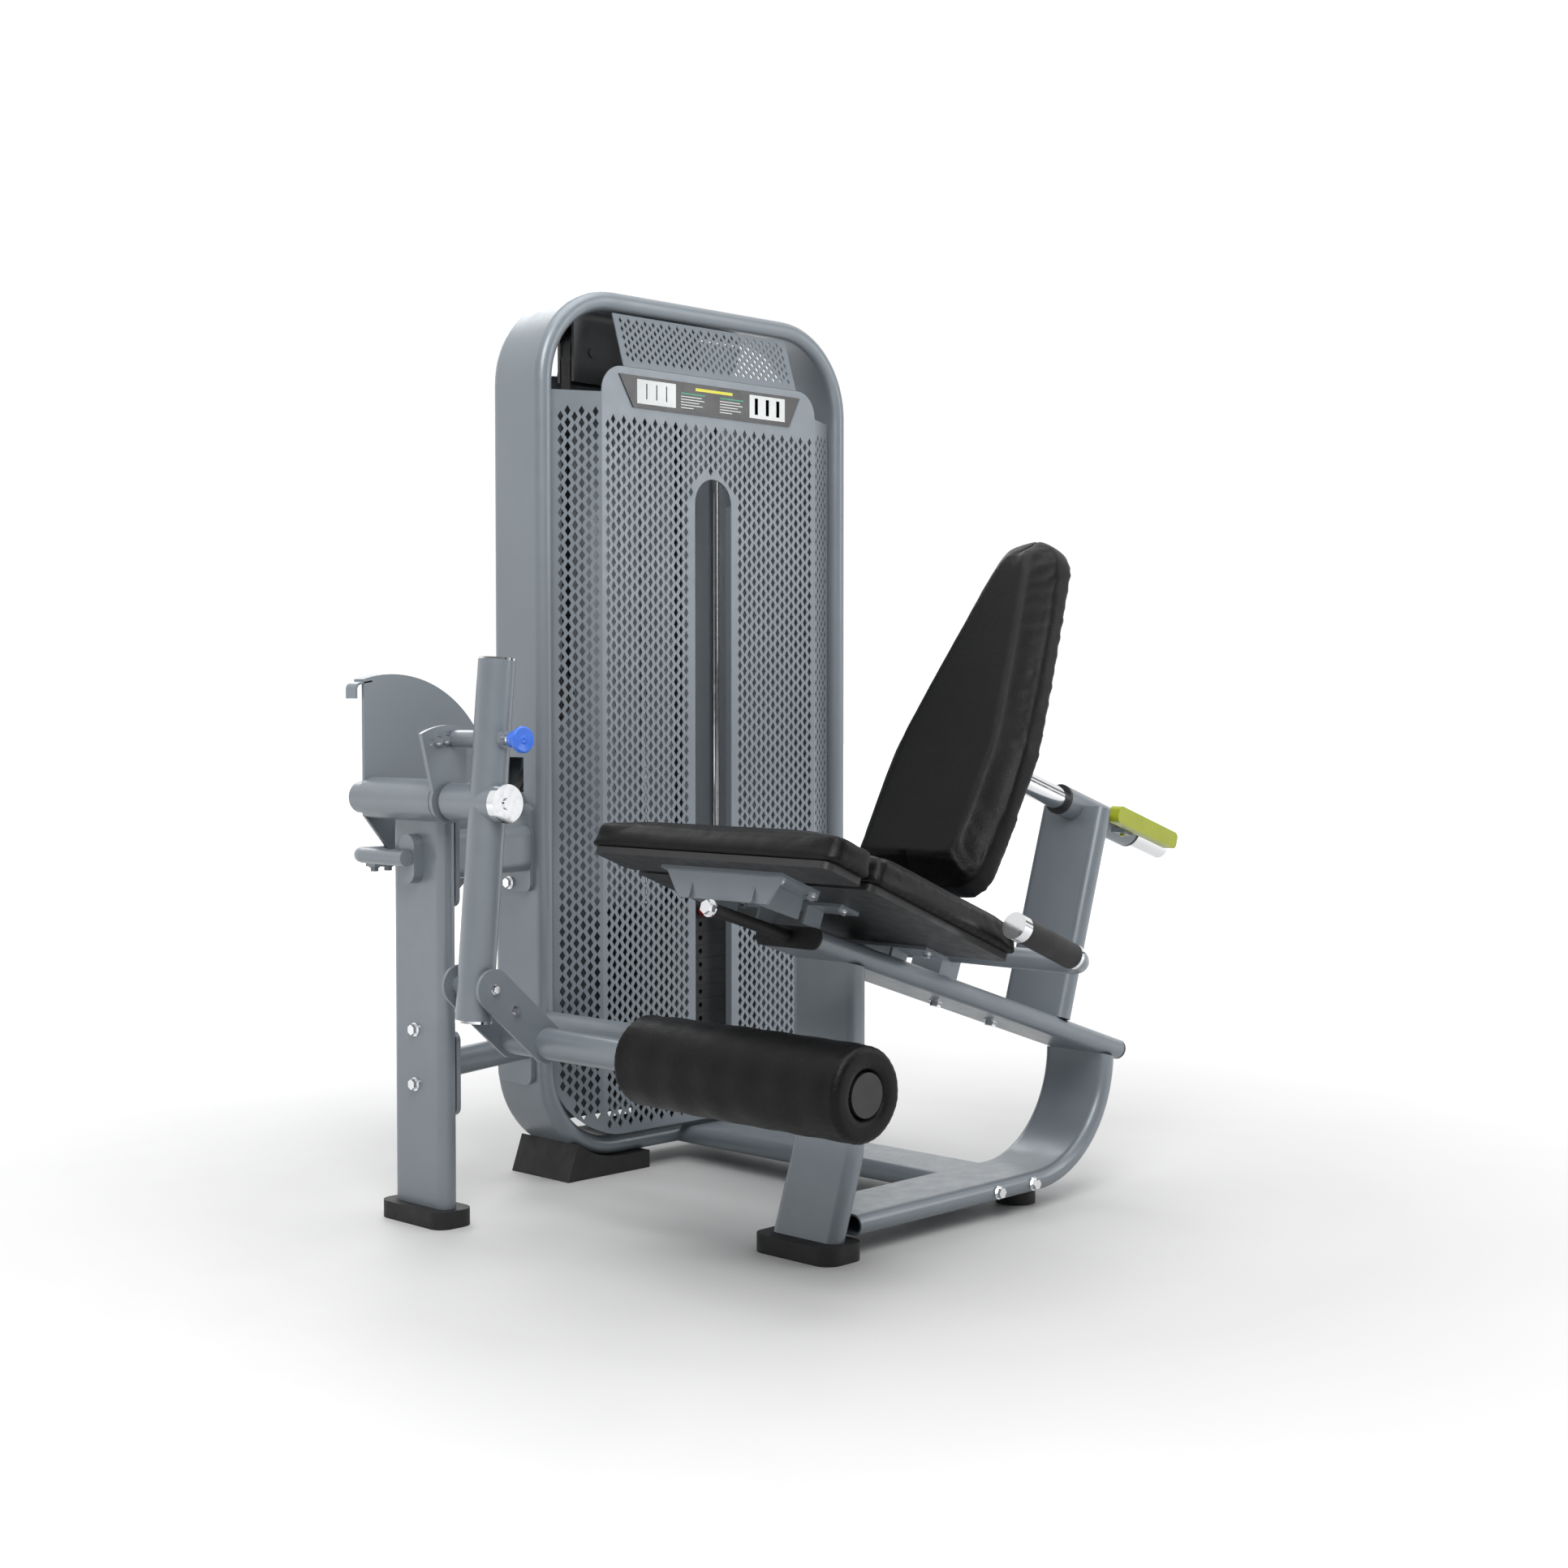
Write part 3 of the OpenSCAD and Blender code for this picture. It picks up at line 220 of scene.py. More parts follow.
def belt_web(name, rgb):
    m = Maker(name)
    wave = m.add("ShaderNodeTexWave", bands_direction="Y")
    wave.inputs["Scale"].default_value = 150
    m.link(m.where, wave.inputs["Vector"])
    m.wire("Base Color", m.ramp(m.noise(20, 4), [(0.3, shade(rgb, 0.8)), (0.7, shade(rgb, 1.5))]))
    m.wire("Roughness", m.span(m.noise(80, 3), 0.5, 0.65, 0.3, 0.7))
    m.wire("Normal", m.bump(wave.outputs["Fac"], 0.5, 0.0008))
    return m.mat


FRAME_RGB = (0.196, 0.224, 0.250)
MATS = {
    "powder_coat": powder_coat("powder_coat", FRAME_RGB),
    "dark_coat": powder_coat("dark_coat", (0.022, 0.024, 0.027), 0.42),
    "chrome": chrome("chrome", (0.80, 0.81, 0.83)),
    "steel_plates": cast_iron("steel_plates", (0.022, 0.023, 0.025)),
    "black_rubber": rubber("black_rubber", (0.009, 0.009, 0.0095)),
    "upholstery": leather("upholstery", (0.0022, 0.0022, 0.0023)),
    "black_plastic": plastic("black_plastic", (0.016, 0.016, 0.017), 0.42, 0.3),
    "panel_board": plastic("panel_board", (0.010, 0.010, 0.011), 0.22, 0.05, 0.3),
    "belt_rubber": belt_web("belt_rubber", (0.012, 0.012, 0.013)),
    "blue_knob": plastic("blue_knob", (0.022, 0.13, 0.62), 0.28, 0.08, 0.4),
    "lime_handle": plastic("lime_handle", (0.33, 0.37, 0.012), 0.38, 0.12, 0.2),
    "red_pin": plastic("red_pin", (0.42, 0.02, 0.02), 0.3, 0.1, 0.3),
}
MATS["stitch"] = plastic("stitch", (0.030, 0.030, 0.032), 0.6, 0.5)
MATS["pale_print"] = plastic("pale_print", (0.62, 0.64, 0.64), 0.35, 0.05, 0.2)
MATS["yellow_print"] = plastic("yellow_print", (0.62, 0.58, 0.03), 0.35, 0.05, 0.2)
MATS["green_print"] = plastic("green_print", (0.03, 0.26, 0.14), 0.35, 0.05, 0.2)

slot_of = {p["node"]: p["material_slot"] for p in frame["record"]["subparts"]}


def dress(obj, *mats):
    obj.data.materials.clear()
    for mat in mats:
        obj.data.materials.append(mat)


# CAD nodes keep their shape and get finishes, and the block-like ones softened edges
SOFTEN = {
    "lever_tube": 0.0008, "link_plates": 0.0012, "sector_plate": 0.001, "cam": 0.001,
    "upper_brace": 0.0012, "lower_brace": 0.0012, "tower_feet": 0.003, "leg_feet": 0.003,
    "front_seat_bracket": 0.001, "rear_seat_brackets": 0.001, "seat_boards": 0.002,
    "adjust_paddle": 0.003, "weight_plates": 0.0015, "stack_head": 0.0015, "back_plate": 0.0015,
    "lever_caps": 0.001, "handle_caps": 0.0015, "stop_pad": 0.003, "slide_tube": 0.0012,
    "roller_plugs": 0.0012, "beam_caps": 0.0015, "pivot_housing": 0.0015,
}
for name, obj in nodes.items():
    dress(obj, MATS[slot_of[name]])
    if name in SOFTEN:
        soft = obj.modifiers.new("edges", "BEVEL")
        soft.width = SOFTEN[name]
        soft.segments = 2
        soft.limit_method = "ANGLE"
        soft.angle_limit = math.radians(50)


# ---------------------------------------------------------------- helpers
def new_piece(name, verts, faces, mats, body, stands_for=(), smooth=True, index=None):
    mesh = bpy.data.meshes.new(name)
    mesh.from_pydata([tuple(v) for v in verts], [], [tuple(f) for f in faces])
    mesh.validate()
    mesh.update()
    obj = bpy.data.objects.new(name, mesh)
    scene.collection.objects.link(obj)
    for mat in mats:
        mesh.materials.append(mat)
    if index is not None:
        mesh.polygons.foreach_set("material_index", index)
    mesh.polygons.foreach_set("use_smooth", [smooth] * len(mesh.polygons))
    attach(obj, body)
    if stands_for:
        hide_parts(*stands_for)
    return obj


def baked(obj):
    """The evaluated mesh of obj as a new mesh."""
    deps = bpy.context.evaluated_depsgraph_get()
    return bpy.data.meshes.new_from_object(obj.evaluated_get(deps))


def lathe(profile, steps=96):
    """Verts and faces of a profile [(radius, along)] turned round +X of its own frame; along is X."""
    verts, faces = [], []
    n = len(profile)
    for i in range(steps):
        a = 2 * math.pi * i / steps
        for r, x in profile:
            verts.append((x, r * math.cos(a), r * math.sin(a)))
    for i in range(steps):
        j = (i + 1) % steps
        for k in range(n - 1):
            faces.append((i * n + k, i * n + k + 1, j * n + k + 1, j * n + k))
    return verts, faces


def rounded_profile(points, radius, steps=5):
    """Rounds the corners of a polyline of (r, x) points."""
    out = [points[0]]
    for a, b, c in zip(points, points[1:], points[2:]):
        a, b, c = (Vector((*p, 0)) for p in (a, b, c))
        u, v = (a - b), (c - b)
        k = min(radius, u.length * 0.48, v.length * 0.48)
        p, q = b + u.normalized() * k, b + v.normalized() * k
        for i in range(steps + 1):
            t = i / steps
            w = p * (1 - t) ** 2 + b * 2 * t * (1 - t) + q * t * t
            out.append((w.x, w.y))
    out.append(points[-1])
    return out


# ---------------------------------------------------------------- perforated shroud
EDGE = 0.3405
BEND = 0.2595
FRONT = 0.087
SIDE = 0.045
FOLD = math.hypot(EDGE - BEND, FRONT - SIDE)


def unfold(x):
    return x if abs(x) <= BEND else math.copysign(BEND + (abs(x) - BEND) * FOLD / (EDGE - BEND), x)


def refold(u, back=1):
    if abs(u) <= BEND:
        return u, -FRONT * back
    t = (abs(u) - BEND) / FOLD
    return math.copysign(BEND + t * (EDGE - BEND), u), (-FRONT + t * (FRONT - SIDE)) * back


def arc(cx, cz, r, a0, a1, steps):
    return [
        (cx + r * math.cos(math.radians(a0 + (a1 - a0) * i / steps)),
         cz + r * math.sin(math.radians(a0 + (a1 - a0) * i / steps)))
        for i in range(steps + 1)
    ]


def inside(p, poly):
    hit = False
    for (x0, z0), (x1, z1) in zip(poly, poly[1:] + poly[:1]):
        if (z0 > p[1]) != (z1 > p[1]) and p[0] < (x1 - x0) * (p[1] - z0) / (z1 - z0) + x0:
            hit = not hit
    return hit


def near_edge(p, poly):
    best = 9.0
    for (x0, z0), (x1, z1) in zip(poly, poly[1:] + poly[:1]):
        dx, dz = x1 - x0, z1 - z0
        t = max(0.0, min(1.0, ((p[0] - x0) * dx + (p[1] - z0) * dz) / (dx * dx + dz * dz + 1e-12)))
        best = min(best, math.hypot(p[0] - x0 - t * dx, p[1] - z0 - t * dz))
    return best


def pierced(outline, holes, wanted, pitch=(0.012, 0.020), size=(0.0053, 0.0090), margin=0.011, creases=()):
    """Flat sheet with diamond holes: (verts 2D, triangles). wanted(p) says where holes may be."""
    loops = [outline] + holes
    diamonds = []
    us = [p[0] for p in outline]
    zs = [p[1] for p in outline]
    cols = range(int(min(us) / pitch[0]) - 1, int(max(us) / pitch[0]) + 2)
    rows = range(int(min(zs) / pitch[1]) - 1, int(max(zs) / pitch[1]) + 2)
    for c in cols:
        for r in rows:
            p = (c * pitch[0] + pitch[0] / 2, (r + 0.5 * (c % 2)) * pitch[1])
            if not inside(p, outline) or not wanted(p):
                continue
            if any(inside(p, h) for h in holes) or min(near_edge(p, loop) for loop in loops) < margin:
                continue
            if any(abs(abs(p[0]) - k) < 0.008 for k in creases):
                continue
            diamonds.append(p)
    verts, edges = [], []

    def loop(points):
        first = len(verts)
        verts.extend(points)
        edges.extend((first + i, first + (i + 1) % len(points)) for i in range(len(points)))

    for one in loops:
        loop(one)
    for x, z in diamonds:
        loop([(x - size[0], z), (x, z - size[1]), (x + size[0], z), (x, z + size[1])])
    for k in creases:
        for s in (-1, 1):
            zz = [z for (u, z) in outline if abs(u - s * k) < 1e-6]
            first = len(verts)
            verts.extend([(s * k, min(zz)), (s * k, max(zz))])
            edges.append((first, first + 1))
    v2, _, f2, _, _, _ = delaunay_2d_cdt([Vector(v) for v in verts], edges, [], 1, 1e-7)
    kept = []
    lookup = {(round(x / pitch[0] - 0.5), round(z / pitch[1] * 2)): (x, z) for x, z in diamonds}
    for f in f2:
        cx = sum(v2[i].x for i in f) / len(f)
        cz = sum(v2[i].y for i in f) / len(f)
        if any(inside((cx, cz), h) for h in holes) or not inside((cx, cz), outline):
            continue
        hit = False
        col = round(cx / pitch[0] - 0.5)
        for dc in (-1, 0, 1):
            for row in range(int(cz / pitch[1] * 2) - 1, int(cz / pitch[1] * 2) + 3):
                d = lookup.get((col + dc, row))
                if d and abs(cx - d[0]) / size[0] + abs(cz - d[1]) / size[1] < 1.0:
                    hit = True
        if not hit:
            kept.append(f)
    return v2, kept


def shroud_outline():
    arm = EDGE - 0.125
    step = BEND - 0.045
    pts = arc(arm, 0.195, 0.125, -90, 0, 10) + [(EDGE, 1.324), (BEND, 1.324)]
    pts += arc(step, 1.326, 0.045, 0, 90, 8)
    pts += [(-x, z) for x, z in reversed(pts)]
    keep = []
    for x, z in pts:
        if not keep or math.hypot(x - keep[-1][0], z - keep[-1][1]) > 1e-4:
            keep.append((x, z))
    low = 0.070 + 0.125 - math.sqrt(max(0.0, 0.125**2 - (BEND - arm) ** 2))
    out = []
    for a, b in zip(keep, keep[1:] + keep[:1]):
        out.append((unfold(a[0]), a[1]))
        for s in (-1, 1):
            if (a[0] - s * BEND) * (b[0] - s * BEND) < -1e-12:
                t = (s * BEND - a[0]) / (b[0] - a[0])
                out.append((s * BEND, a[1] + t * (b[1] - a[1])))
    return out


def build_shroud(name, node, back, window):
    outline = shroud_outline()
    holes = []
    if window:
        holes = [[(0.0445, 0.19)] + arc(0, 1.151, 0.0445, 0, 180, 20) + [(-0.0445, 0.19)]]

    def wanted(p):
        return 0.085 < p[1] < (1.30 if abs(p[0]) > BEND else 1.288)

    v2, tris = pierced(outline, holes, wanted, creases=(BEND,))
    verts = []
    for v in v2:
        x, y = refold(v.x)
        verts.append((TX + x, TY + y * back, v.y))
    faces = [f if back > 0 else f[::-1] for f in tris]
    # crest panel leaning to the top of the ring
    top = ring_hi.z - 0.032 - 0.004
    crest_half = 0.210
    lean_len = math.hypot(top - 1.3715, FRONT - 0.058)
    crest = [(-crest_half, 0.0), (crest_half, 0.0), (crest_half, lean_len), (-crest_half, lean_len)]
    c2, ctris = pierced(crest, [], lambda p: True, pitch=(0.0095, 0.0155), size=(0.0036, 0.0062), margin=0.009)
    first = len(verts)
    for v in c2:
        t = v.y / lean_len
        verts.append((TX + v.x, TY + (-FRONT + t * (FRONT - 0.058)) * back, 1.3715 + t * (top - 1.3715)))
    faces += [tuple(first + i for i in (f if back > 0 else f[::-1])) for f in ctris]
    if window:
        # return flanges along the window
        for s in (-1, 1):
            first = len(verts)
            x = TX + s * 0.0455
            y0, y1 = TY - FRONT + 0.001, TY - FRONT + 0.014
            verts += [(x, y0, 0.19), (x, y1, 0.19), (x, y1, 1.151), (x, y0, 1.151)]
            faces.append((first, first + 1, first + 2, first + 3))
    obj = new_piece(name, verts, faces, [MATS["powder_coat"]], "frame", (node,), smooth=False)
    wall = obj.modifiers.new("sheet", "SOLIDIFY")
    wall.thickness = 0.002
    wall.offset = -1
    return obj


build_shroud("front_shroud_sheet", "front_shroud", 1, True)


# ---------------------------------------------------------------- placard print
def placard_print():
    lo, hi = (Vector(c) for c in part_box("placard"))
    y = lo.y - 0.0004
    verts, faces, index = [], [], []

    def patch(x0, z0, x1, z1, mat):
        first = len(verts)
        for yy in (y, lo.y + 0.0002):
            verts.extend([(TX + x0, yy, z0), (TX + x1, yy, z0), (TX + x1, yy, z1), (TX + x0, yy, z1)])
        q = [(0, 1, 2, 3), (0, 4, 5, 1), (1, 5, 6, 2), (2, 6, 7, 3), (3, 7, 4, 0)]
        faces.extend(tuple(first + i for i in f) for f in q)
        index.extend([mat] * len(q))

    patch(-0.182, 1.3115, -0.092, 1.3525, 0)
    patch(0.088, 1.3115, 0.178, 1.3525, 0)
    for x in (-0.160, -0.137, -0.114):
        patch(x - 0.0012, 1.320, x + 0.0012, 1.346, 1)
    for x in (0.105, 0.133, 0.160):
        patch(x - 0.004, 1.318, x + 0.004, 1.347, 1)
    patch(-0.045, 1.3455, 0.045, 1.3505, 2)
    for side in (-1, 1):
        for row in range(6):
            width = (0.058, 0.050, 0.056, 0.044, 0.052, 0.030)[row]
            x0 = -0.080 if side < 0 else 0.014
            z = 1.3375 - row * 0.0048
            patch(x0, z, x0 + width, z + (0.0024 if row == 0 else 0.0014), 3 if row == 0 else 0)
    obj = new_piece("placard_print", verts, faces,
                    [MATS["pale_print"], MATS["panel_board"], MATS["yellow_print"], MATS["green_print"]],
                    "frame", smooth=False, index=index)
    return obj


placard_print()


# ---------------------------------------------------------------- upholstery
def soft_copy(name, node, voxel, rounds):
    """Remeshed and smoothed copy of a CAD pad, ready to be shaped."""
    mesh = nodes[node].data.copy()
    obj = bpy.data.objects.new(name, mesh)
    scene.collection.objects.link(obj)
    re = obj.modifiers.new("remesh", "REMESH")
    re.mode = "VOXEL"
    re.voxel_size = voxel
    sm = obj.modifiers.new("smooth", "SMOOTH")
    sm.factor = 0.5
    sm.iterations = rounds
    obj.data = baked(obj)
    obj.modifiers.clear()
    return obj


def coords(mesh):
    co = np.empty(len(mesh.vertices) * 3)
    mesh.vertices.foreach_get("co", co)
    return co.reshape(-1, 3)


def set_coords(mesh, co):
    mesh.vertices.foreach_set("co", co.ravel())
    mesh.update()


def puff(obj, frames, pressure, cap, pinned=None):
    """Swells the pad with a short cloth run; no point moves further than cap."""
    before = coords(obj.data)
    cloth = obj.modifiers.new("cloth", "CLOTH")
    cs = cloth.settings
    cs.quality = 4
    cs.mass = 0.3
    cs.tension_stiffness = 25
    cs.compression_stiffness = 25
    cs.shear_stiffness = 12
    cs.bending_stiffness = 2.5
    cs.use_pressure = True
    cs.uniform_pressure_force = pressure
    cs.effector_weights.gravity = 0
    cloth.collision_settings.use_collision = False
    cloth.collision_settings.use_self_collision = False
    cloth.point_cache.frame_start = 1
    cloth.point_cache.frame_end = frames
    if pinned is not None:
        group = obj.vertex_groups.new(name="pin")
        group.add([int(i) for i in np.nonzero(pinned)[0]], 1.0, "REPLACE")
        cs.vertex_group_mass = "pin"
    for f in range(1, frames + 1):
        scene.frame_set(f)
    mesh = baked(obj)
    after = coords(mesh)
    obj.modifiers.clear()
    obj.vertex_groups.clear()
    move = after - before
    far = np.linalg.norm(move, axis=1, keepdims=True)
    move *= np.minimum(1.0, cap / np.maximum(far, 1e-9))
    set_coords(obj.data, before + move)
    scene.frame_set(1)


def finish_pad(obj, body, node, mats=("upholstery",)):
    dress(obj, *(MATS[m] for m in mats))
    obj.data.polygons.foreach_set("use_smooth", [True] * len(obj.data.polygons))
    sub = obj.modifiers.new("fine", "SUBSURF")
    sub.levels = 1
    sub.render_levels = 1
    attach(obj, body)
    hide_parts(node)


def smoothstep(a, b, x):
    t = np.clip((x - a) / (b - a), 0, 1)
    return t * t * (3 - 2 * t)


def ripple(co, scale, seed=0.0):
    return np.array([noise.noise(Vector((c[0] * scale + seed, c[1] * scale, c[2] * scale))) for c in co])


SEAT = Matrix.Rotation(math.radians(22), 3, "Y")
BACK = Matrix.Rotation(math.radians(30), 3, "Y")


def seat_pad(name, node, crown):
    obj = soft_copy(name, node, 0.0055, 7)
    R = np.array(SEAT)
    co = coords(obj.data)
    local = co @ R
    lo, hi = local.min(0), local.max(0)
    mid, half = (lo + hi) / 2, (hi - lo) / 2
    rel = (local - mid) / half
    # slimmer before it swells, held where it lies on its board
    local[:, 2] -= 0.003 * smoothstep(0.2, 0.9, rel[:, 2])
    local[:, :2] -= rel[:, :2] * 0.003 * smoothstep(-0.9, 0.0, rel[:, 2])[:, None]
    set_coords(obj.data, local @ R.T)
    puff(obj, 14, 3.5, 0.007, rel[:, 2] < -0.86)
    local = coords(obj.data) @ R
    rel = (local - mid) / half
    face = smoothstep(0.3, 0.95, rel[:, 2])
    dome = (1 - np.clip(np.abs(rel[:, 0]), 0, 1) ** 4) * (1 - np.clip(np.abs(rel[:, 1]), 0, 1) ** 6)
    local[:, 2] += crown * dome * face
    # sewn line round the top panel, set in from the edge
    inset = np.minimum((1 - np.abs(rel[:, 0])) * half[0], (1 - np.abs(rel[:, 1])) * half[1])
    local[:, 2] -= 0.0014 * np.exp(-(((inset - 0.017) / 0.004) ** 2)) * face
    # gathers that run in from the sides
    side = 1 - smoothstep(0.0, 0.035, inset)
    wave = ripple(local, 55) * 0.0011 + ripple(local, 16, 4.0) * 0.0012
    local[:, 2] += 0.6 * wave * side * face
    local[:, 0] += np.sign(rel[:, 0]) * 0.0008 * ripple(local, 40, 9.0) * (1 - face)
    set_coords(obj.data, local @ R.T)
    finish_pad(obj, "frame", node)
    return obj


seat_pad("front_seat_cushion", "front_seat_pad", 0.004)
seat_pad("rear_seat_cushion", "rear_seat_pad", 0.006)


def back_pad():
    obj = soft_copy("backrest_cushion", "backrest_pad", 0.0055, 8)
    R = np.array(BACK)
    local = coords(obj.data) @ R
    lo, hi = local.min(0), local.max(0)
    mid = (lo + hi) / 2
    up = local[:, 2] - lo[2]
    depth = (local[:, 0] - lo[0]) / (hi[0] - lo[0])
    length = hi[2] - lo[2]
    # half width of the pad at each height
    rows = np.linspace(0, length, 80)
    half = np.array([np.abs(local[np.abs(up - r) < 0.012, 1] - mid[1]).max() for r in rows])
    hw = np.interp(up, rows, half)
    off = local[:, 1] - mid[1]
    edge = np.minimum(hw - np.abs(off), np.minimum(up + 0.0, length - up) * 1.0)
    # fuller outline than the plain solid, its front edge rolled back
    t = np.clip(up / length, 0, 1)
    roll = np.clip(1 - depth, 0, 1) ** 1.8
    out = 0.011 * np.sin(np.pi * np.clip((t - 0.05) / 0.95, 0, 1)) ** 0.7
    rim = 1 - smoothstep(0.0, 0.06, edge)
    local[:, 1] += np.sign(off) * (out * np.clip(np.abs(off) / np.maximum(hw, 0.02), 0, 1) - 0.010 * roll * rim)
    local[:, 2] += (1 - smoothstep(0, 0.06, length - up)) * (0.006 - 0.010 * roll)
    local[:, 2] += (1 - smoothstep(0, 0.05, up)) * 0.008 * roll
    local[:, 0] += 0.004 * depth * smoothstep(0.75, 1.0, t)
    set_coords(obj.data, local @ R.T)
    puff(obj, 14, 3.5, 0.008, depth > 0.9)
    local = coords(obj.data) @ R
    front = 1 - smoothstep(0.0, 0.45, depth)
    inner = smoothstep(0.022, 0.046, edge)
    local[:, 0] -= front * (0.0035 * inner - 0.011 * (1 - smoothstep(0.0, 0.040, edge)) ** 1.5)
    local[:, 0] += front * 0.0012 * np.exp(-(((edge - 0.040) / 0.0035) ** 2))
    local[:, 0] -= front * 0.004 * (1 - np.clip(np.abs(off) / np.maximum(hw, 0.02), 0, 1) ** 2) * inner
    local[:, 0] += front * (1 - inner) * ripple(local, 30) * 0.0006
    set_coords(obj.data, local @ R.T)
    finish_pad(obj, "backrest", "backrest_pad")
    return obj


back_pad()


def roller_pad():
    lo, hi = (Vector(c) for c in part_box("roller_pad"))
    cx, cz = (lo.x + hi.x) / 2, (lo.z + hi.z) / 2
    R = (hi.x - lo.x) / 2
    length = hi.y - lo.y
    steps = 64
    pts = [(0.0305, 0.010), (0.036, 0.006), (0.0385, 0.0012), (R - 0.004, 0.0)]
    body = []
    n = 60
    for i in range(n + 1):
        t = i / n
        x = 0.002 + t * (length - 0.004)
        swell = -0.0012 + 0.0012 * math.sin(math.pi * t)
        body.append((R + swell - 0.0004 * math.cos(t * 40), x))
    tail = [(R - 0.004, length), (0.0385, length - 0.0012), (0.036, length - 0.006), (0.0305, length - 0.010)]
    ring = rounded_profile(pts + [(R - 0.0012, 0.0)], 0.003, 3)[:-1]
    # round both shoulders of the roll
    shoulder = 0.011
    prof = [(0.0305, 0.010), (0.0330, 0.0075), (0.0355, 0.0030), (0.0385, 0.0010)]
    prof += [(0.045, 0.0), (0.050, 0.0)]
    for i in range(9):
        a = math.radians(90 * i / 8)
        prof.append((R - shoulder + shoulder * math.sin(a) - 0.0008, shoulder - shoulder * math.cos(a)))
    prof += [(r, x) for r, x in body if shoulder + 0.004 < x < length - shoulder - 0.004]
    for i in range(9):
        a = math.radians(90 * i / 8)
        prof.append((R - shoulder + shoulder * math.cos(a) - 0.0008, length - shoulder + shoulder * math.sin(a)))
    prof += [(0.050, length), (0.045, length), (0.0385, length - 0.0010), (0.0355, length - 0.0030),
             (0.0330, length - 0.0075), (0.0305, length - 0.010)]
    v, f = lathe(prof, 128)
    verts = []
    for x, y, z in v:
        r = math.hypot(y, z)
        near = max(0.0, 1 - min(x, length - x) / 0.05)
        k = 1 + (0.0011 * noise.noise(Vector((x * 24, y * 30, z * 30))) * (0.4 + near)
                 - 0.0006 * near * abs(math.sin(math.atan2(z, y) * 17))) / max(r, 0.03)
        verts.append((cx + y * k, lo.y + x, cz + z * k))
    obj = new_piece("ankle_roller", verts, f, [MATS["upholstery"]], "roller", ("roller_pad",))
    return obj


roller_pad()


# ---------------------------------------------------------------- knob and small parts
def knob():
    lo, hi = (Vector(c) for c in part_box("pull_knob"))
    cx, cz = (lo.x + hi.x) / 2, (lo.z + hi.z) / 2
    length = hi.y - lo.y
    R = (hi.x - lo.x) / 2 + 0.003
    prof = [(0.0082, length), (0.0125, length), (0.0130, length * 0.62), (0.0118, length * 0.45),
            (R - 0.0015, length * 0.33), (R, length * 0.24), (R, length * 0.08), (R - 0.002, 0.0),
            (0.006, 0.0018), (0.0055, 0.0004), (0.0025, 0.0004), (0.0001, 0.0012)]
    v, f = lathe(rounded_profile(prof, 0.0018, 3), 96)
    verts = []
    for x, y, z in v:
        r, a = math.hypot(y, z), math.atan2(z, y)
        k = 1 + (0.012 * (abs(math.sin(a * 9)) - 1) if r > R * 0.9 else 0)
        verts.append((cx + y * k, lo.y + x, cz + z * k))
    new_piece("knob", verts, f, [MATS["blue_knob"]], "start_pin", ("pull_knob",))


knob()


def cam_hook():
    """The rim's end, turned down over the cam's upright edge."""
    lo, hi = (Vector(c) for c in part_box("cam"))
    y0, y1 = lo.y, hi.y
    thick = 0.004
    path = []
    bend = 0.012
    x, z = lo.x + 0.006, hi.z - 0.0125
    for i in range(4):
        path.append((x + 0.02 - i * 0.005, z + 0.0035 - i * 0.0009))
    for i in range(1, 9):
        a = math.radians(90 + 90 * i / 8)
        path.append((x + bend * math.cos(a), z - bend + bend * math.sin(a)))
    path.append((x - bend, z - bend - 0.014))
    verts, faces = [], []
    for k, (px, pz) in enumerate(path):
        a = path[max(k - 1, 0)]
        b = path[min(k + 1, len(path) - 1)]
        d = Vector((b[0] - a[0], b[1] - a[1])).normalized()
        nx, nz = -d.y, d.x
        for yy in (y0, y1):
            verts.append((px, yy, pz))
            verts.append((px + nx * thick, yy, pz + nz * thick))
    n = len(path)
    for k in range(n - 1):
        a, b = 4 * k, 4 * (k + 1)
        faces += [(a, b, b + 2, a + 2), (a + 1, a + 3, b + 3, b + 1), (a, a + 1, b + 1, b), (a + 2, b + 2, b + 3, a + 3)]
    faces += [(0, 2, 3, 1), (4 * n - 4, 4 * n - 3, 4 * n - 1, 4 * n - 2)]
    obj = new_piece("cam_rim_hook", verts, faces, [MATS["powder_coat"]], "drive", smooth=False)
    soft = obj.modifiers.new("edges", "BEVEL")
    soft.width = 0.0008
    soft.segments = 2


cam_hook()


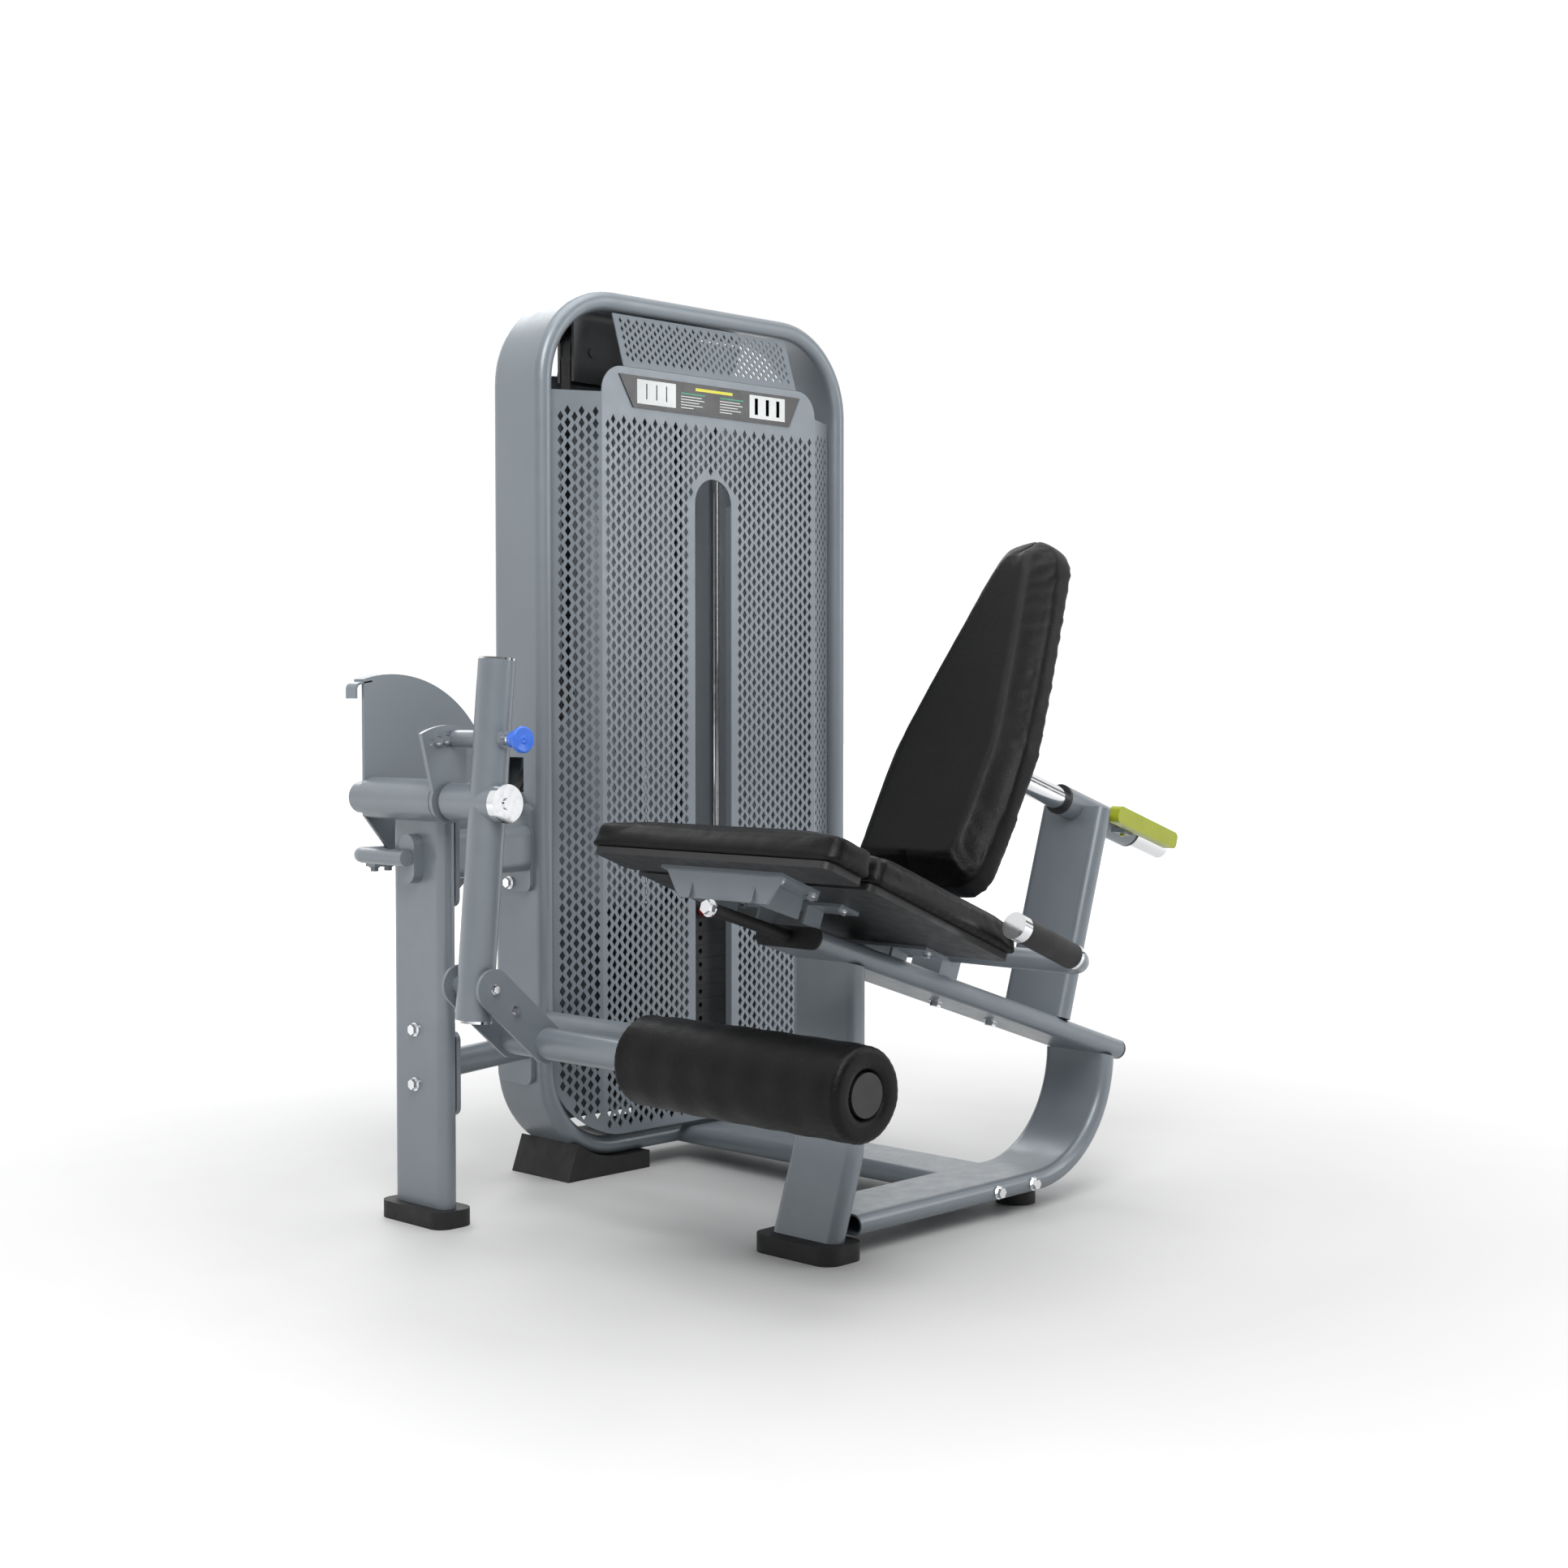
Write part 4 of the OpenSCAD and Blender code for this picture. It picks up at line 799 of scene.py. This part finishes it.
# ---------------------------------------------------------------- studio
def studio():
    mesh = bpy.data.meshes.new("studio_floor")
    s = 30
    mesh.from_pydata([(-s, -s, 0), (s, -s, 0), (s, s, 0), (-s, s, 0)], [], [(0, 1, 2, 3)])
    floor = bpy.data.objects.new("studio_floor", mesh)
    scene.collection.objects.link(floor)
    m = Maker("studio_floor")
    m.wire("Base Color", m.ramp(m.noise(0.8, 3), [(0.3, (0.55, 0.55, 0.55)), (0.7, (0.58, 0.58, 0.58))]))
    m.wire("Roughness", m.span(m.noise(6, 3), 0.55, 0.65, 0.3, 0.7))
    # painted light: the floor glows (emission) more the further it is from the machine and stays darker near it, which
    # paints the look of a lit sweep and the shade around the machine
    away = m.add("ShaderNodeVectorMath", operation="LENGTH")
    m.link(m.where, away.inputs[0])
    m.wire("Emission Color", m.ramp(m.span(away.outputs["Value"], 0.0, 1.0, 0.9, 4.2),
                                    [(0.0, (0.0, 0.0, 0.0)), (1.0, (0.75, 0.75, 0.75))]))
    m.set(Emission_Strength=1.0)
    mesh.materials.append(m.mat)
    world = bpy.data.worlds.new("studio")
    scene.world = world
    world.use_nodes = True
    tree = world.node_tree
    back = tree.nodes["Background"]
    back.inputs["Strength"].default_value = 1.0
    # white behind the machine, greyer on the open side of the studio
    way = tree.nodes.new("ShaderNodeTexCoord")
    dot = tree.nodes.new("ShaderNodeVectorMath")
    dot.operation = "DOT_PRODUCT"
    dot.inputs[1].default_value = (0.72, 0.69, 0.35)
    ramp = tree.nodes.new("ShaderNodeValToRGB")
    stops = [(0.0, 0.16), (0.34, 0.30), (0.47, 0.62), (0.60, 1.02)]
    while len(ramp.color_ramp.elements) < len(stops):
        ramp.color_ramp.elements.new(0.5)
    for e, (pos, v) in zip(ramp.color_ramp.elements, stops):
        e.position = pos
        e.color = (v, v, v, 1)
    half = tree.nodes.new("ShaderNodeMath")
    half.operation = "MULTIPLY_ADD"
    half.inputs[1].default_value = 0.5
    half.inputs[2].default_value = 0.5
    tree.links.new(way.outputs["Generated"], dot.inputs[0])
    tree.links.new(dot.outputs["Value"], half.inputs[0])
    tree.links.new(half.outputs[0], ramp.inputs["Fac"])
    # darker flags on the open side, for contrast in the chrome
    flag = tree.nodes.new("ShaderNodeVectorMath")
    flag.operation = "DOT_PRODUCT"
    flag.inputs[1].default_value = (0.70, -0.70, 0.12)
    bands = tree.nodes.new("ShaderNodeValToRGB")
    steps = [(0.0, 1.0), (0.80, 1.0), (0.84, 0.08), (0.90, 0.10), (0.93, 1.0), (0.965, 1.0), (0.975, 0.06), (1.0, 0.2)]
    while len(bands.color_ramp.elements) < len(steps):
        bands.color_ramp.elements.new(0.5)
    for e, (pos, v) in zip(bands.color_ramp.elements, steps):
        e.position = pos
        e.color = (v, v, v, 1)
    both = tree.nodes.new("ShaderNodeMix")
    both.data_type = "RGBA"
    both.blend_type = "MULTIPLY"
    both.inputs["Factor"].default_value = 1.0
    tree.links.new(way.outputs["Generated"], flag.inputs[0])
    tree.links.new(flag.outputs["Value"], bands.inputs["Fac"])
    tree.links.new(ramp.outputs["Color"], both.inputs["A"])
    tree.links.new(bands.outputs["Color"], both.inputs["B"])
    tree.links.new(both.outputs["Result"], back.inputs["Color"])

    def lamp(name, at, to, size, power, tint=(1, 1, 1)):
        data = bpy.data.lights.new(name, "AREA")
        data.shape = "RECTANGLE"
        data.size, data.size_y = size
        data.energy = power
        data.color = tint
        obj = bpy.data.objects.new(name, data)
        scene.collection.objects.link(obj)
        obj.location = at
        obj.rotation_euler = (Vector(to) - Vector(at)).to_track_quat("-Z", "Y").to_euler()

    lamp("key", (-2.6, -2.2, 3.6), (0, 0, 0.6), (2.0, 2.4), 125)
    lamp("fill", (2.8, -3.0, 2.2), (0.1, 0, 0.7), (1.6, 2.6), 38)
    lamp("rim", (1.2, 3.4, 3.2), (0, 0, 0.8), (2.6, 1.6), 50)
    lamp("top", (0, -0.2, 4.4), (0, 0, 0), (3.0, 3.0), 66)


studio()
scene.view_settings.view_transform = "Standard"
